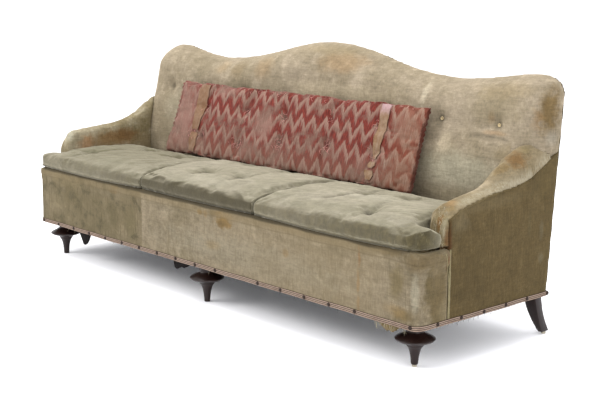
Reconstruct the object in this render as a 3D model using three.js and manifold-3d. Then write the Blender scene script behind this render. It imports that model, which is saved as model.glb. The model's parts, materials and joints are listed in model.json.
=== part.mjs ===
// A long camelback sofa with three loose seat cushions, low swept arms, turned front feet
// and a loose lumbar cushion, worn and torn. Millimetres, +Z up, +X to the sitter's left,
// -Y is the front. The origin is on the floor under the middle of the whole sofa.

import * as THREE from 'three';
import Module from 'manifold-3d';
import { mergeVertices } from 'three/addons/utils/BufferGeometryUtils.js';
import { RoundedBoxGeometry } from 'three/addons/geometries/RoundedBoxGeometry.js';

const wasm = await Module();
wasm.setup();

// ---------------------------------------------------------------- driving dimensions
// Y is measured from the front face of the seat while the pieces are made, and the whole
// sofa is moved back by CENTRE_Y at the end.
const HALF_LENGTH = 1134;
const CENTRE_Y = 363.3;
const COVER_BOTTOM = 145;
const DECK_TOP = 401;
const REAR_Y_AT_BOTTOM = 678;
const BACK_RAKE = 0.08;
const OUTSIDE_BACK_THICKNESS = 8;
const CORNER_RADIUS = { left: 12, right: 35 };
const BORDER_THICKNESS = 24;
const SIDE_SEAM_Y = 143;
const GAP = 0.4;

// Top line of the camel back as [x, height]. The left corner has slumped more than the right.
const CAMEL_LINE = [
  [-1134, 796], [-1120, 846], [-1098, 883], [-1060, 912], [-1010, 925], [-950, 920], [-870, 903],
  [-780, 887],
  [-690, 879], [-600, 881], [-500, 891], [-400, 909], [-300, 930], [-200, 955], [-100, 973],
  [0, 980], [100, 975], [200, 960], [300, 938], [400, 911], [500, 891], [600, 881], [690, 878],
  [780, 883], [870, 895], [950, 908], [1010, 915], [1060, 916], [1098, 905], [1120, 889], [1134, 860],
];
// Front face of the padded back: [height, distance behind the front of the seat].
const BACK_FACE = [
  [400, 545], [480, 540], [560, 541], [640, 560], [720, 588], [800, 606], [900, 620], [990, 632],
];
const BACK_EDGE_ROUNDING = 105;

// Arms: crown and outer edge of the top, as [distance behind the front, height]. The right
// arm has lost its padding at the front, so it starts further back and is lower and narrower.
const ARM_INSIDE_X = 1046;
const ARM_CROWN_X = 1076;
const ARM_SHAPES = {
  left: {
    frontY: 95, noseLength: 34, insideTuck: 22,
    crown: [
      [95, 505], [104, 535], [120, 550], [145, 557], [185, 558], [265, 565], [347, 572],
      [402, 584], [459, 604], [516, 632], [550, 660], [600, 681], [650, 684], [700, 676],
    ],
  },
  right: {
    frontY: 118, noseLength: 60, insideTuck: 34,
    crown: [
      [118, 478], [128, 505], [150, 522], [180, 532], [226, 543], [313, 552], [380, 566],
      [427, 600], [463, 630], [505, 656], [557, 678], [600, 684], [650, 686], [700, 677],
    ],
  },
};
const ARM_OUTER_EDGE = [
  [118, 470], [150, 488], [193, 509], [265, 525], [369, 543], [470, 553], [563, 575], [648, 620],
  [780, 692],
];
const OUTSIDE_ARM_THICKNESS = 20;

// Loose cushions.
const CUSHION_SEAM_X = 346;
const CUSHION_FRONT_Y = -18;
const CUSHION_REAR_Y = 524;
const CUSHION_EAR_GAP = 3;
const CUSHION_EAR_END = { left: 1124, right: 1131 };
const CUSHION_EAR_ROUNDING = { left: 45, right: 78 };
const LEFT_CUSHION_SAG = 11;
// From the rear: [distance behind the front of the seat, height].
const CUSHION_CROWN = [
  [514, 448], [487, 458], [440, 475], [400, 479], [220, 486], [80, 481], [30, 473],
];
const LUMBAR = { length: 1430, height: 320, thickness: 52, middleX: -47, frontY: 438, bottomZ: 480 };
const LUMBAR_LEAN = 0.31;
const LUMBAR_TWIST = 0.0205;

// Frame, springs and feet.
const RAIL_THICKNESS = 27;
const RAIL_BOTTOM = 153.5;
const RAIL_TOP = 300;
const SPRING_COLUMNS = [-890, -530, -170, 170, 530, 890];
const SPRING_ROWS = [215, 440];
const SPRING_TURNS = 4;
const FOOT_X = 1057;
const FRONT_FOOT_Y = 76;
const CENTRE_FOOT_Y = 54;
const GLIDE_HEIGHT = 8;
const GLIDE_RADIUS = 8.5;
const GIMP_THICKNESS = 2.5;
const GIMP_WIDTH = 18;

const COLOURS = {
  velvet: 0xa89f85, oliveVelvet: 0x7a6f4e, paleVelvet: 0xb5ae96, rose: 0xa9746a, strap: 0xb08a62,
  gimp: 0xb89a80, mahogany: 0x3a2a2a, hardwood: 0x9c7a52, jute: 0xb59a6a, burlap: 0xa08558,
  steel: 0x8c8c8c, cambric: 0x2c2e2a, nylon: 0xd8d2c0,
};

// ---------------------------------------------------------------- small helpers
const sofa = new THREE.Group();
sofa.position.y = -CENTRE_Y;

function material(colour, roughness = 0.9, metalness = 0) {
  return new THREE.MeshStandardMaterial({ color: colour, roughness, metalness });
}

function addPiece(name, geometry, colour, roughness, metalness) {
  const mesh = new THREE.Mesh(geometry, material(colour, roughness, metalness));
  mesh.name = name;
  sofa.add(mesh);
  return mesh;
}

// Height or depth read off a line of [position, value] points, joined by straight steps.
function along(line, position) {
  if (position <= line[0][0]) {
    return line[0][1];
  }
  for (let i = 1; i < line.length; i += 1) {
    const [endPosition, endValue] = line[i];
    const [startPosition, startValue] = line[i - 1];
    if (position <= endPosition) {
      const share = (position - startPosition) / (endPosition - startPosition);
      return startValue + share * (endValue - startValue);
    }
  }
  return line[line.length - 1][1];
}

function rearY(z) {
  return REAR_Y_AT_BOTTOM + BACK_RAKE * (z - COVER_BOTTOM);
}

function camelTop(x) {
  return along(CAMEL_LINE, x);
}

// The camel line from one end to the other as [x, z], lowered by a drop and ended at a reach.
function camelOutline(reach, drop) {
  const between = CAMEL_LINE.filter(([x]) => Math.abs(x) < reach - 5);
  const line = [[-reach, camelTop(-reach)], ...between, [reach, camelTop(reach)]];
  return line.map(([x, z]) => [x, z - drop]);
}

function shapeOf(points) {
  return new THREE.Shape(points.map(([x, y]) => new THREE.Vector2(x, y)));
}

function box(x0, x1, y0, y1, z0, z1) {
  const geometry = new THREE.BoxGeometry(x1 - x0, y1 - y0, z1 - z0);
  return geometry.translate((x0 + x1) / 2, (y0 + y1) / 2, (z0 + z1) / 2);
}

// A plan outline of [x, y] points raised from z0 to z1.
function raise(points, z0, z1) {
  const geometry = new THREE.ExtrudeGeometry(shapeOf(points), { depth: z1 - z0, bevelEnabled: false });
  return geometry.translate(0, 0, z0);
}

// A side outline of [y, z] points run across from x0 to x1.
function runAcross(points, x0, x1) {
  const geometry = new THREE.ExtrudeGeometry(shapeOf(points), { depth: x1 - x0, bevelEnabled: false });
  const turn = new THREE.Matrix4().set(0, 0, 1, 0, 1, 0, 0, 0, 0, 1, 0, 0, 0, 0, 0, 1);
  return geometry.applyMatrix4(turn).translate(x0, 0, 0);
}

// A front outline of [x, z] points run back from y0 to y1, leaning back with the rake.
function runBack(points, y0, y1) {
  const geometry = new THREE.ExtrudeGeometry(shapeOf(points), { depth: y1 - y0, bevelEnabled: false });
  geometry.rotateX(Math.PI / 2).translate(0, y1, 0);
  return lean(geometry);
}

// Leans a piece made against the upright rear plane back by the rake of the back.
function lean(geometry) {
  const place = geometry.attributes.position;
  for (let i = 0; i < place.count; i += 1) {
    place.setY(i, place.getY(i) + BACK_RAKE * (place.getZ(i) - COVER_BOTTOM));
  }
  return geometry;
}

// A closed solid through rings of the same number of [x, y, z] points, with capped ends.
function loft(rings) {
  const positions = rings.flat(2);
  const count = rings[0].length;
  const faces = [];
  for (let ring = 0; ring < rings.length - 1; ring += 1) {
    for (let i = 0; i < count; i += 1) {
      const here = ring * count + i;
      const next = ring * count + ((i + 1) % count);
      faces.push(here, next, next + count, here, next + count, here + count);
    }
  }
  const flatRing = (ring) => {
    const spread = [0, 1, 2].map((axis) => {
      const values = ring.map((point) => point[axis]);
      return Math.max(...values) - Math.min(...values);
    });
    const dropped = spread.indexOf(Math.min(...spread));
    const kept = [0, 1, 2].filter((axis) => axis !== dropped);
    return ring.map((point) => new THREE.Vector2(point[kept[0]], point[kept[1]]));
  };
  const cap = THREE.ShapeUtils.triangulateShape(flatRing(rings[0]), []);
  const lastRing = (rings.length - 1) * count;
  for (const [a, b, c] of cap) {
    const first = sameTurn(rings[0], a, b, c) ? [a, c, b] : [a, b, c];
    faces.push(...first);
    faces.push(...first.map((index) => index + lastRing).reverse());
  }
  const geometry = new THREE.BufferGeometry();
  geometry.setAttribute('position', new THREE.Float32BufferAttribute(positions, 3));
  geometry.setIndex(faces);
  return faceOutwards(geometry);
}

// Whether a cap triangle turns the same way as its ring, so that both ends close.
function sameTurn(ring, a, b, c) {
  const point = (index) => new THREE.Vector3(...ring[index]);
  const triangle = new THREE.Triangle(point(a), point(b), point(c)).getNormal(new THREE.Vector3());
  const around = new THREE.Vector3();
  ring.forEach((_, i) => around.add(point(i).cross(point((i + 1) % ring.length))));
  return triangle.dot(around) > 0;
}

function faceOutwards(geometry) {
  const place = geometry.attributes.position;
  const index = geometry.index.array;
  const corner = (i) => new THREE.Vector3().fromBufferAttribute(place, index[i]);
  let volume = 0;
  for (let i = 0; i < index.length; i += 3) {
    volume += corner(i).dot(corner(i + 1).cross(corner(i + 2)));
  }
  if (volume < 0) {
    geometry.setIndex([...index].reverse());
  }
  return geometry;
}

function toSolid(geometry) {
  const bare = geometry.clone();
  bare.deleteAttribute('normal');
  bare.deleteAttribute('uv');
  const merged = mergeVertices(bare, 1e-3);
  return new wasm.Manifold(new wasm.Mesh({
    numProp: 3,
    vertProperties: new Float32Array(merged.attributes.position.array),
    triVerts: new Uint32Array(merged.index.array),
  }));
}

function toGeometry(solid) {
  const mesh = solid.getMesh();
  const geometry = new THREE.BufferGeometry();
  geometry.setAttribute('position', new THREE.Float32BufferAttribute(mesh.vertProperties, 3));
  geometry.setIndex([...mesh.triVerts]);
  return geometry;
}

function joined(geometries) {
  return toGeometry(geometries.map(toSolid).reduce((whole, next) => whole.add(next)));
}

// The geometry with the cutters taken away, without any crumbs the cuts leave loose.
function cut(geometry, cutters) {
  const rest = cutters.map(toSolid).reduce((whole, next) => whole.subtract(next), toSolid(geometry));
  const bodies = rest.decompose().sort((a, b) => b.volume() - a.volume());
  return toGeometry(bodies[0]);
}

function mirrored(geometry) {
  const copy = geometry.clone();
  if (!copy.index) {
    copy.setIndex([...Array(copy.attributes.position.count).keys()]);
  }
  copy.scale(-1, 1, 1);
  copy.setIndex([...copy.index.array].reverse());
  return copy;
}

function addPair(name, geometry, colour, roughness, metalness) {
  addPiece(`left_${name}`, mirrored(geometry), colour, roughness, metalness);
  addPiece(`right_${name}`, geometry, colour, roughness, metalness);
}

// ---------------------------------------------------------------- seat frame
const innerFrontY = BORDER_THICKNESS + 2;
const sideRailOuterX = HALF_LENGTH - BORDER_THICKNESS - 1;
const sideRailInnerX = sideRailOuterX - RAIL_THICKNESS;
const backRailFrontY = 638;
const backRailRearY = backRailFrontY + RAIL_THICKNESS;
const postInnerX = 1046;
const postOuterX = 1081;

function addSeatFrame() {
  const frontRailRearY = innerFrontY + RAIL_THICKNESS;
  const frontRailEnd = sideRailOuterX - 6;
  const frontRail = box(-frontRailEnd, frontRailEnd, innerFrontY, frontRailRearY, RAIL_BOTTOM, RAIL_TOP);
  addPiece('front_rail', frontRail, COLOURS.hardwood);
  const backRailEnd = postInnerX - GAP;
  const backRail = box(-backRailEnd, backRailEnd, backRailFrontY, backRailRearY, RAIL_BOTTOM, RAIL_TOP);
  addPiece('back_rail', backRail, COLOURS.hardwood);
  const sideFrontY = frontRailRearY + GAP;
  const sideRail = box(sideRailInnerX, sideRailOuterX, sideFrontY, backRailRearY, RAIL_BOTTOM, RAIL_TOP);
  addPair('side_rail', sideRail, COLOURS.hardwood);
  const crossRail = box(-16, 16, sideFrontY, backRailFrontY - GAP, 195, RAIL_TOP - 20);
  addPiece('centre_cross_rail', crossRail, COLOURS.hardwood);
  const blockX = sideRailInnerX - GAP;
  const blockY = sideFrontY;
  const cornerBlock = [
    [blockX, blockY], [blockX, blockY + 105], [blockX - 22, blockY + 105],
    [blockX - 105, blockY + 22], [blockX - 105, blockY],
  ].reverse();
  addPair('front_corner_block', raise(cornerBlock, RAIL_BOTTOM, RAIL_BOTTOM + 55), COLOURS.hardwood);
}

// ---------------------------------------------------------------- back frame
const framePlaneY = REAR_Y_AT_BOTTOM - OUTSIDE_BACK_THICKNESS - 38;
const frameDepth = 30;
const padOverFrame = 30;

function frameTop(x) {
  return camelTop(x) - padOverFrame - 6;
}

function addBackFrame() {
  for (const [side, sign] of [['left', -1], ['right', 1]]) {
    const postTop = frameTop(sign * postOuterX);
    const ends = [sign * postInnerX, sign * postOuterX].sort((a, b) => a - b);
    const base = RAIL_TOP + GAP;
    const outline = [[ends[0], base], [ends[1], base], [ends[1], postTop], [ends[0], postTop]];
    const post = runBack(outline, framePlaneY, framePlaneY + frameDepth);
    addPiece(`${side}_back_post`, post, COLOURS.hardwood);
  }

  const railEnd = postInnerX - GAP;
  const upper = camelOutline(railEnd, padOverFrame + 6);
  const lower = camelOutline(railEnd, padOverFrame + 84);
  addPiece('camel_top_rail', runBack([...lower, ...upper.reverse()], framePlaneY, framePlaneY + frameDepth),
    COLOURS.hardwood);
  addPiece('back_tacking_rail', runBack([[-railEnd, 455], [railEnd, 455], [railEnd, 505], [-railEnd, 505]],
    framePlaneY, framePlaneY + frameDepth), COLOURS.hardwood);

  const uprightX = 380;
  const uprightTop = frameTop(uprightX + 25) - 80;
  const uprightOutline = [
    [uprightX - 25, 505 + GAP], [uprightX + 25, 505 + GAP],
    [uprightX + 25, uprightTop], [uprightX - 25, uprightTop],
  ];
  const upright = runBack(uprightOutline, framePlaneY, framePlaneY + frameDepth);
  addPair('back_upright', upright, COLOURS.hardwood);
}

// ---------------------------------------------------------------- arm frame
const armFrameInnerX = 1086;
const armFrameOuterX = HALF_LENGTH - OUTSIDE_ARM_THICKNESS - 1;
const armRailDrop = 32;
const armRailHeight = 26;

function addArmFrame() {
  const stations = [150, 193, 265, 369, 470, 540];
  const top = stations.map((y) => [y, along(ARM_OUTER_EDGE, y) - armRailDrop]);
  const bottom = top.map(([y, z]) => [y, z - armRailHeight]);
  const armRail = runAcross([...bottom, ...top.reverse()], armFrameInnerX, armFrameOuterX);
  addPair('arm_rail', armRail, COLOURS.hardwood);
  const postTop = along(ARM_OUTER_EDGE, 150) - armRailDrop - armRailHeight - GAP;
  const armPost = box(armFrameInnerX, armFrameOuterX - 5, 150, 188, RAIL_TOP + GAP, postTop);
  addPair('arm_post', armPost, COLOURS.hardwood);
}

// ---------------------------------------------------------------- webbing, springs, burlap
function addSeatWebbing() {
  const strips = [];
  const webbingTop = RAIL_BOTTOM - GAP;
  const webbingBottom = webbingTop - 2;
  for (const y of SPRING_ROWS) {
    strips.push(box(-1080, 1080, y - 25, y + 25, webbingBottom, webbingTop));
  }
  for (const x of SPRING_COLUMNS) {
    strips.push(box(x - 25, x + 25, 30, 660, webbingBottom + 0.5, webbingTop));
  }
  addPiece('seat_webbing', joined(strips), COLOURS.jute);
}

function addBackWebbing() {
  const strips = [];
  const rearFaceY = framePlaneY - GAP;
  for (const z of [590, 690]) {
    strips.push(box(-1075, 1075, rearFaceY - 2, rearFaceY, z - 25, z + 25));
  }
  for (const x of [-800, -590, -140, 140, 590, 800]) {
    strips.push(box(x - 25, x + 25, rearFaceY - 1.5, rearFaceY, 460, frameTop(x) - 30));
  }
  addPiece('back_webbing', lean(joined(strips)), COLOURS.jute);
}

class CoilLine extends THREE.Curve {
  getPoint(share) {
    const waist = 29 + 17 * (2 * share - 1) ** 2;
    const angle = share * SPRING_TURNS * 2 * Math.PI;
    return new THREE.Vector3(waist * Math.cos(angle), waist * Math.sin(angle), share * 196);
  }
}

function addSprings() {
  const wire = shapeOf([[2.2, 0], [0, 2.2], [-2.2, 0], [0, -2.2]]);
  const coil = new THREE.ExtrudeGeometry(wire, { steps: SPRING_TURNS * 7, extrudePath: new CoilLine() });
  SPRING_ROWS.forEach((y, row) => {
    SPRING_COLUMNS.forEach((x, column) => {
      const spring = addPiece(`seat_spring_${row + 1}_${column + 1}`, coil, COLOURS.steel, 0.5, 0.9);
      spring.position.set(x, y, RAIL_BOTTOM + 3.5);
    });
  });
}

const burlapHalfWidth = 1080;
const burlapLine = [[34, 302], [110, 362], [570, 362], [632, 302]];

function addBurlap() {
  const upperSide = burlapLine.map(([y, z]) => [y, z + 2]);
  const section = [...burlapLine, ...upperSide.reverse()].reverse();
  addPiece('seat_burlap', runAcross(section, -burlapHalfWidth, burlapHalfWidth), COLOURS.burlap);
}

// ---------------------------------------------------------------- seat deck and front
function addDeck() {
  const underside = burlapLine.map(([y, z]) => [y, z + 2.6]);
  const deck = [...underside, [600, DECK_TOP - 2], [innerFrontY, DECK_TOP - 2], [innerFrontY, 306]];
  addPiece('seat_deck', runAcross(deck.reverse(), -ARM_INSIDE_X + 2, ARM_INSIDE_X - 2), COLOURS.velvet);
}

// Plan of a band that hugs the front corners: outer line, then back along the inner line.
function cornerBand(outset, thickness, rearEndY) {
  const outer = [];
  const inner = [];
  const steps = 5;
  for (const side of [-1, 1]) {
    const radius = side < 0 ? CORNER_RADIUS.left : CORNER_RADIUS.right;
    const centreX = HALF_LENGTH - radius;
    for (let i = 0; i <= steps; i += 1) {
      const turn = ((side < 0 ? i : steps - i) / steps) * (Math.PI / 2);
      const direction = [side * Math.cos(turn), -Math.sin(turn)];
      const reach = radius + outset;
      const innerReach = Math.max(reach - thickness, 6);
      const innerCentreX = HALF_LENGTH + outset - thickness - innerReach;
      const innerCentreY = -outset + thickness + innerReach;
      outer.push([side * centreX + direction[0] * reach, radius + direction[1] * reach]);
      const innerX = side * innerCentreX + direction[0] * innerReach;
      inner.push([innerX, innerCentreY + direction[1] * innerReach]);
    }
  }
  const edge = HALF_LENGTH + outset;
  const innerEdge = edge - thickness;
  const outerLine = [[-edge, rearEndY], ...outer, [edge, rearEndY]];
  return [...outerLine, [innerEdge, rearEndY], ...inner.reverse(), [-innerEdge, rearEndY]];
}

function addFrontBorder() {
  const wall = cornerBand(0, BORDER_THICKNESS, SIDE_SEAM_Y - GAP);
  addPiece('front_border', raise(wall, COVER_BOTTOM, DECK_TOP - 4), COLOURS.velvet);
}

// ---------------------------------------------------------------- back upholstery
// Depth of the padded front of the back at a point, rounded towards its top and ends.
function backFaceY(x, z, grow) {
  const inside = Math.min(HALF_LENGTH + grow - Math.abs(x), camelTop(x) + grow - z);
  const share = Math.min(Math.max(inside / BACK_EDGE_ROUNDING, 0), 1);
  const fullness = Math.sqrt(1 - (1 - share) ** 2);
  const full = rearY(z) - along(BACK_FACE, z);
  return rearY(z) - Math.max(full * fullness, 24) - grow;
}

function backRings(grow) {
  const rings = [];
  const columns = [
    0, 110, 220, 330, 450, 570, 690, 800, 900, 970, 1020, 1060, 1092, 1116, 1130, HALF_LENGTH + grow,
  ];
  const bottom = DECK_TOP + 1 - grow;
  const rows = 12;
  const stations = [...columns.slice(1).reverse().map((x) => -x), ...columns];
  for (const x of stations) {
    const top = camelTop(x) + grow;
    const ring = [];
    for (let row = 0; row <= rows; row += 1) {
      const share = row / rows;
      const z = bottom + (top - bottom) * (1 - (1 - share) ** 1.6);
      ring.push([x, backFaceY(x, z, grow), z]);
    }
    const rear = (z) => rearY(z) - OUTSIDE_BACK_THICKNESS - GAP + 3 * grow;
    ring.push([x, rear(top), top - 0.5]);
    ring.push([x, rear(bottom), bottom]);
    rings.push(ring);
  }
  return rings;
}

function backPocket() {
  const reach = postOuterX + 4;
  const upper = camelOutline(reach, padOverFrame).reverse();
  return runBack([[-reach, 300], [reach, 300], ...upper], framePlaneY - 5, REAR_Y_AT_BOTTOM + 20);
}

// Where the top edge of the outside arm meets the panel behind the back.
function outsideArmRearTop() {
  let z = 650;
  for (let i = 0; i < 5; i += 1) {
    z = along(ARM_OUTER_EDGE, rearY(z) - OUTSIDE_BACK_THICKNESS - GAP);
  }
  return [rearY(z) - OUTSIDE_BACK_THICKNESS - GAP, z];
}

function outsideArmOutline(grow) {
  const start = [SIDE_SEAM_Y, along(ARM_OUTER_EDGE, SIDE_SEAM_Y)];
  const end = grow > 0 ? ARM_OUTER_EDGE[ARM_OUTER_EDGE.length - 1] : outsideArmRearTop();
  const between = ARM_OUTER_EDGE.filter(([y]) => y > start[0] && y < end[0] - 1);
  const top = [start, ...between, end].map(([y, z]) => [y, z + grow]);
  top[0][0] -= grow;
  const rearBottomY = grow > 0 ? end[0] : rearY(COVER_BOTTOM) - OUTSIDE_BACK_THICKNESS - GAP;
  return [[SIDE_SEAM_Y - grow, COVER_BOTTOM - grow], [rearBottomY, COVER_BOTTOM - grow], ...top.reverse()];
}

function outsideArm(grow) {
  const insideX = HALF_LENGTH - OUTSIDE_ARM_THICKNESS - grow;
  return runAcross(outsideArmOutline(grow), insideX, HALF_LENGTH + 8 * grow);
}

function addBackUpholstery() {
  const armPanel = outsideArm(GAP);
  const insideBack = cut(loft(backRings(0)), [backPocket(), armPanel, mirrored(armPanel)]);
  addPiece('inside_back', insideBack, COLOURS.velvet);
  const edge = HALF_LENGTH - 1;
  const outline = [[-edge, COVER_BOTTOM], [edge, COVER_BOTTOM], ...camelOutline(edge, 3).reverse()];
  addPiece('outside_back', runBack(outline, REAR_Y_AT_BOTTOM - OUTSIDE_BACK_THICKNESS, REAR_Y_AT_BOTTOM),
    COLOURS.oliveVelvet);
}

// ---------------------------------------------------------------- arm upholstery
function armRing(y, shape) {
  const crown = along(shape.crown, y);
  const outer = Math.min(along(ARM_OUTER_EDGE, y), crown - 8);
  const nose = Math.min((y - shape.frontY) / shape.noseLength, 1);
  const rounding = 1 - Math.sqrt(1 - (1 - nose) ** 2);
  const bottom = DECK_TOP + 1;
  const insideX = ARM_INSIDE_X + shape.insideTuck * rounding;
  const outsideX = HALF_LENGTH - 24 * rounding;
  const crownX = Math.max(ARM_CROWN_X, insideX + 12);
  // Towards the back the top swells out over the side before it drops.
  const swell = Math.min(Math.max((y - 400) / 180, 0), 1);
  const drop = (share) => crown + (outer - crown) * share;
  return [
    [insideX, y, bottom], [insideX, y, crown - 38], [insideX + 6, y, crown - 14], [crownX, y, crown],
    [crownX + 20, y, drop(0.26 - 0.24 * swell)], [outsideX - 10, y, drop(0.7 - 0.32 * swell)],
    [outsideX, y, outer], [outsideX, y, bottom],
  ];
}

function armWithoutBack(shape) {
  const nose = [0, 0.15, 0.45, 1].map((share) => shape.frontY + share * shape.noseLength);
  const stations = [...nose, 200, 265, 300, 350, 400, 450, 500, 550, 600, 648, 694];
  const body = loft(stations.map((y) => armRing(y, shape)));
  const hollowStations = [SIDE_SEAM_Y - GAP, 193, 265, 369, 470, 563, 648, 720];
  const hollow = loft(hollowStations.map((y) => {
    const top = along(ARM_OUTER_EDGE, y) - armRailDrop + 4;
    return [[armFrameInnerX - 4, y, 380], [HALF_LENGTH + 10, y, 380], [HALF_LENGTH + 10, y, top],
      [armFrameInnerX - 4, y, top]];
  }));
  return cut(body, [hollow, outsideArm(GAP)]);
}

function addArms() {
  const back = loft(backRings(GAP));
  const leftArm = mirrored(armWithoutBack(ARM_SHAPES.left));
  addPiece('left_arm_upholstery', cut(leftArm, [back]), COLOURS.velvet);
  addPiece('right_arm_upholstery', cut(armWithoutBack(ARM_SHAPES.right), [back]), COLOURS.velvet);
  addPair('outside_arm', outsideArm(0), COLOURS.oliveVelvet);
}

// ---------------------------------------------------------------- loose cushions
const cushionBottom = DECK_TOP + 2;

// Top of a cushion's front face, from its edge down to the point that stands furthest out.
function cushionNose(sag) {
  const drop = sag / 2;
  return [[6, 466 - drop], [-8, 458 - drop], [CUSHION_FRONT_Y + 2, 446 - drop], [CUSHION_FRONT_Y, 424]];
}

// Side outline of a cushion, flat below and crowned above, the crown lowered by its sag.
function cushionSection(sag) {
  const crown = CUSHION_CROWN.map(([y, z]) => [y, z - sag]);
  return [
    [CUSHION_FRONT_Y + 12, cushionBottom], [CUSHION_REAR_Y - 8, cushionBottom],
    [CUSHION_REAR_Y, cushionBottom + 20], ...crown, ...cushionNose(sag),
  ];
}

// The ear that reaches sideways in front of the arm.
function earSection(earRearY, sag) {
  return [
    [CUSHION_FRONT_Y + 12, cushionBottom], [earRearY - 6, cushionBottom], [earRearY, 430],
    [earRearY - 8, 450 - sag], [60, 472 - sag], [30, 471 - sag], ...cushionNose(sag + 6),
  ];
}

// What is taken off the front corner of an ear to round it, seen from above.
function earCorner(earEnd, radius) {
  const middleX = earEnd - radius;
  const middleY = CUSHION_FRONT_Y + radius;
  const outline = [[earEnd + 6, middleY], [earEnd + 6, CUSHION_FRONT_Y - 6], [middleX, CUSHION_FRONT_Y - 6]];
  const steps = 12;
  for (let i = 0; i <= steps; i += 1) {
    const angle = (i / steps) * (Math.PI / 2);
    outline.push([middleX + radius * Math.sin(angle), middleY - radius * Math.cos(angle)]);
  }
  return raise(outline, cushionBottom - 10, 540);
}

// A cushion beside the middle one, with the ear in front of its arm.
function sideCushion(armFrontY, earEnd, sag, rounding) {
  const body = joined([
    runAcross(cushionSection(sag), CUSHION_SEAM_X + 2, ARM_INSIDE_X - 1),
    runAcross(earSection(armFrontY - CUSHION_EAR_GAP, sag), ARM_INSIDE_X - 40, earEnd),
  ]);
  return cut(body, [earCorner(earEnd, rounding)]);
}

function addCushions() {
  const sideShape = (side, sag) =>
    sideCushion(ARM_SHAPES[side].frontY, CUSHION_EAR_END[side], sag, CUSHION_EAR_ROUNDING[side]);
  addPiece('left_seat_cushion', mirrored(sideShape('left', LEFT_CUSHION_SAG)), COLOURS.paleVelvet);
  addPiece('centre_seat_cushion', runAcross(cushionSection(0), -CUSHION_SEAM_X + 2, CUSHION_SEAM_X - 2),
    COLOURS.paleVelvet);
  addPiece('right_seat_cushion', sideShape('right', 0), COLOURS.paleVelvet);
}

const strapWidth = 50;

function addLumbarCushion() {
  const lumbar = new THREE.Group();
  lumbar.position.set(LUMBAR.middleX, LUMBAR.frontY, LUMBAR.bottomZ);
  lumbar.rotation.set(-LUMBAR_LEAN, 0, LUMBAR_TWIST, 'ZXY');
  sofa.add(lumbar);
  const addTo = (name, geometry, colour) => {
    const mesh = new THREE.Mesh(geometry, material(colour));
    mesh.name = name;
    lumbar.add(mesh);
  };
  const pad = new RoundedBoxGeometry(LUMBAR.length, LUMBAR.thickness, LUMBAR.height, 2, 18);
  addTo('lumbar_cushion', pad.translate(0, LUMBAR.thickness / 2, LUMBAR.height / 2), COLOURS.rose);
  const strap = (x, z0) => box(x - strapWidth / 2, x + strapWidth / 2, -3, -GAP, z0, LUMBAR.height - 20);
  addTo('left_strap', strap(-536, 16), COLOURS.strap);
  addTo('right_strap', strap(523, 24), COLOURS.strap);
}

// ---------------------------------------------------------------- trims and dust cover
function addTrims() {
  const gimpTop = COVER_BOTTOM + GIMP_WIDTH;
  const rearEnd = rearY(COVER_BOTTOM) - 4;
  const sides = cornerBand(GIMP_THICKNESS + GAP, GIMP_THICKNESS, rearEnd);
  addPiece('gimp_front_and_sides', raise(sides, COVER_BOTTOM, gimpTop), COLOURS.gimp);
  const backY = REAR_Y_AT_BOTTOM + GAP;
  const backBand = [
    [-HALF_LENGTH, COVER_BOTTOM], [HALF_LENGTH, COVER_BOTTOM],
    [HALF_LENGTH, gimpTop], [-HALF_LENGTH, gimpTop],
  ];
  addPiece('gimp_back', runBack(backBand, backY, backY + GIMP_THICKNESS), COLOURS.gimp);
  const cord = new THREE.CylinderGeometry(2.5, 2.5, 208, 8);
  cord.rotateX(Math.PI / 2).translate(HALF_LENGTH + 2.5 + GAP, SIDE_SEAM_Y, gimpTop + GAP + 104);
  addPair('side_piping', cord, COLOURS.paleVelvet);
}

// Thin black cloth under the frame, with torn ends that hang behind the front edge.
function addDustCover() {
  const top = RAIL_BOTTOM - 4;
  const edgeX = 1104;
  const sheet = box(-edgeX, edgeX, 30, 662, top - 1, top);
  const flap = (x0, x1, y, drop) => runBack([[x0, top - 0.2], [(x0 + x1) / 2, top - drop], [x1, top - 0.2]],
    y - BACK_RAKE * (top - COVER_BOTTOM), y + 1);
  const flaps = [flap(-905, -795, 46, 52), flap(-235, -75, 52, 40), flap(1085, 1102, 545, 24)];
  addPiece('dust_cover', joined([sheet, ...flaps]), COLOURS.cambric);
}

// ---------------------------------------------------------------- feet
const footProfile = [
  [11.5, 4], [13, 24], [15.5, 44], [20.5, 64], [27, 73], [38, 84], [60, 90], [67, 96], [65, 100],
  [31, 118], [29, 124], [29, COVER_BOTTOM + 2], [0, COVER_BOTTOM + 2],
];

// A turned front foot that starts at the floor, or just above a glide.
function turnedFoot(baseHeight) {
  const above = footProfile.filter(([, height]) => height > baseHeight + 2);
  const outline = [[0, baseHeight], [11, baseHeight], ...above];
  const points = outline.map(([radius, height]) => new THREE.Vector2(radius, height));
  const foot = new THREE.LatheGeometry(points, 20);
  return foot.rotateX(Math.PI / 2);
}

function glide() {
  const disc = new THREE.CylinderGeometry(GLIDE_RADIUS, GLIDE_RADIUS - 1, GLIDE_HEIGHT, 16);
  return disc.rotateX(Math.PI / 2).translate(0, 0, GLIDE_HEIGHT / 2);
}

function addFeet() {
  const places = {
    front_left: [-FOOT_X, FRONT_FOOT_Y, 0],
    front_centre: [0, CENTRE_FOOT_Y, 0],
    front_right: [FOOT_X, FRONT_FOOT_Y, GLIDE_HEIGHT + GAP],
  };
  for (const [place, [x, y, baseHeight]] of Object.entries(places)) {
    const foot = addPiece(`${place}_foot`, turnedFoot(baseHeight), COLOURS.mahogany, 0.4);
    foot.position.set(x, y, 0);
  }
  const frontGlide = addPiece('front_right_glide', glide(), COLOURS.nylon, 0.4);
  frontGlide.position.set(FOOT_X, FRONT_FOOT_Y, 0);
  const rearGlide = addPiece('rear_right_glide', glide(), COLOURS.nylon, 0.4);
  rearGlide.position.set(1116.5, 694, 0);
}

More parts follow.
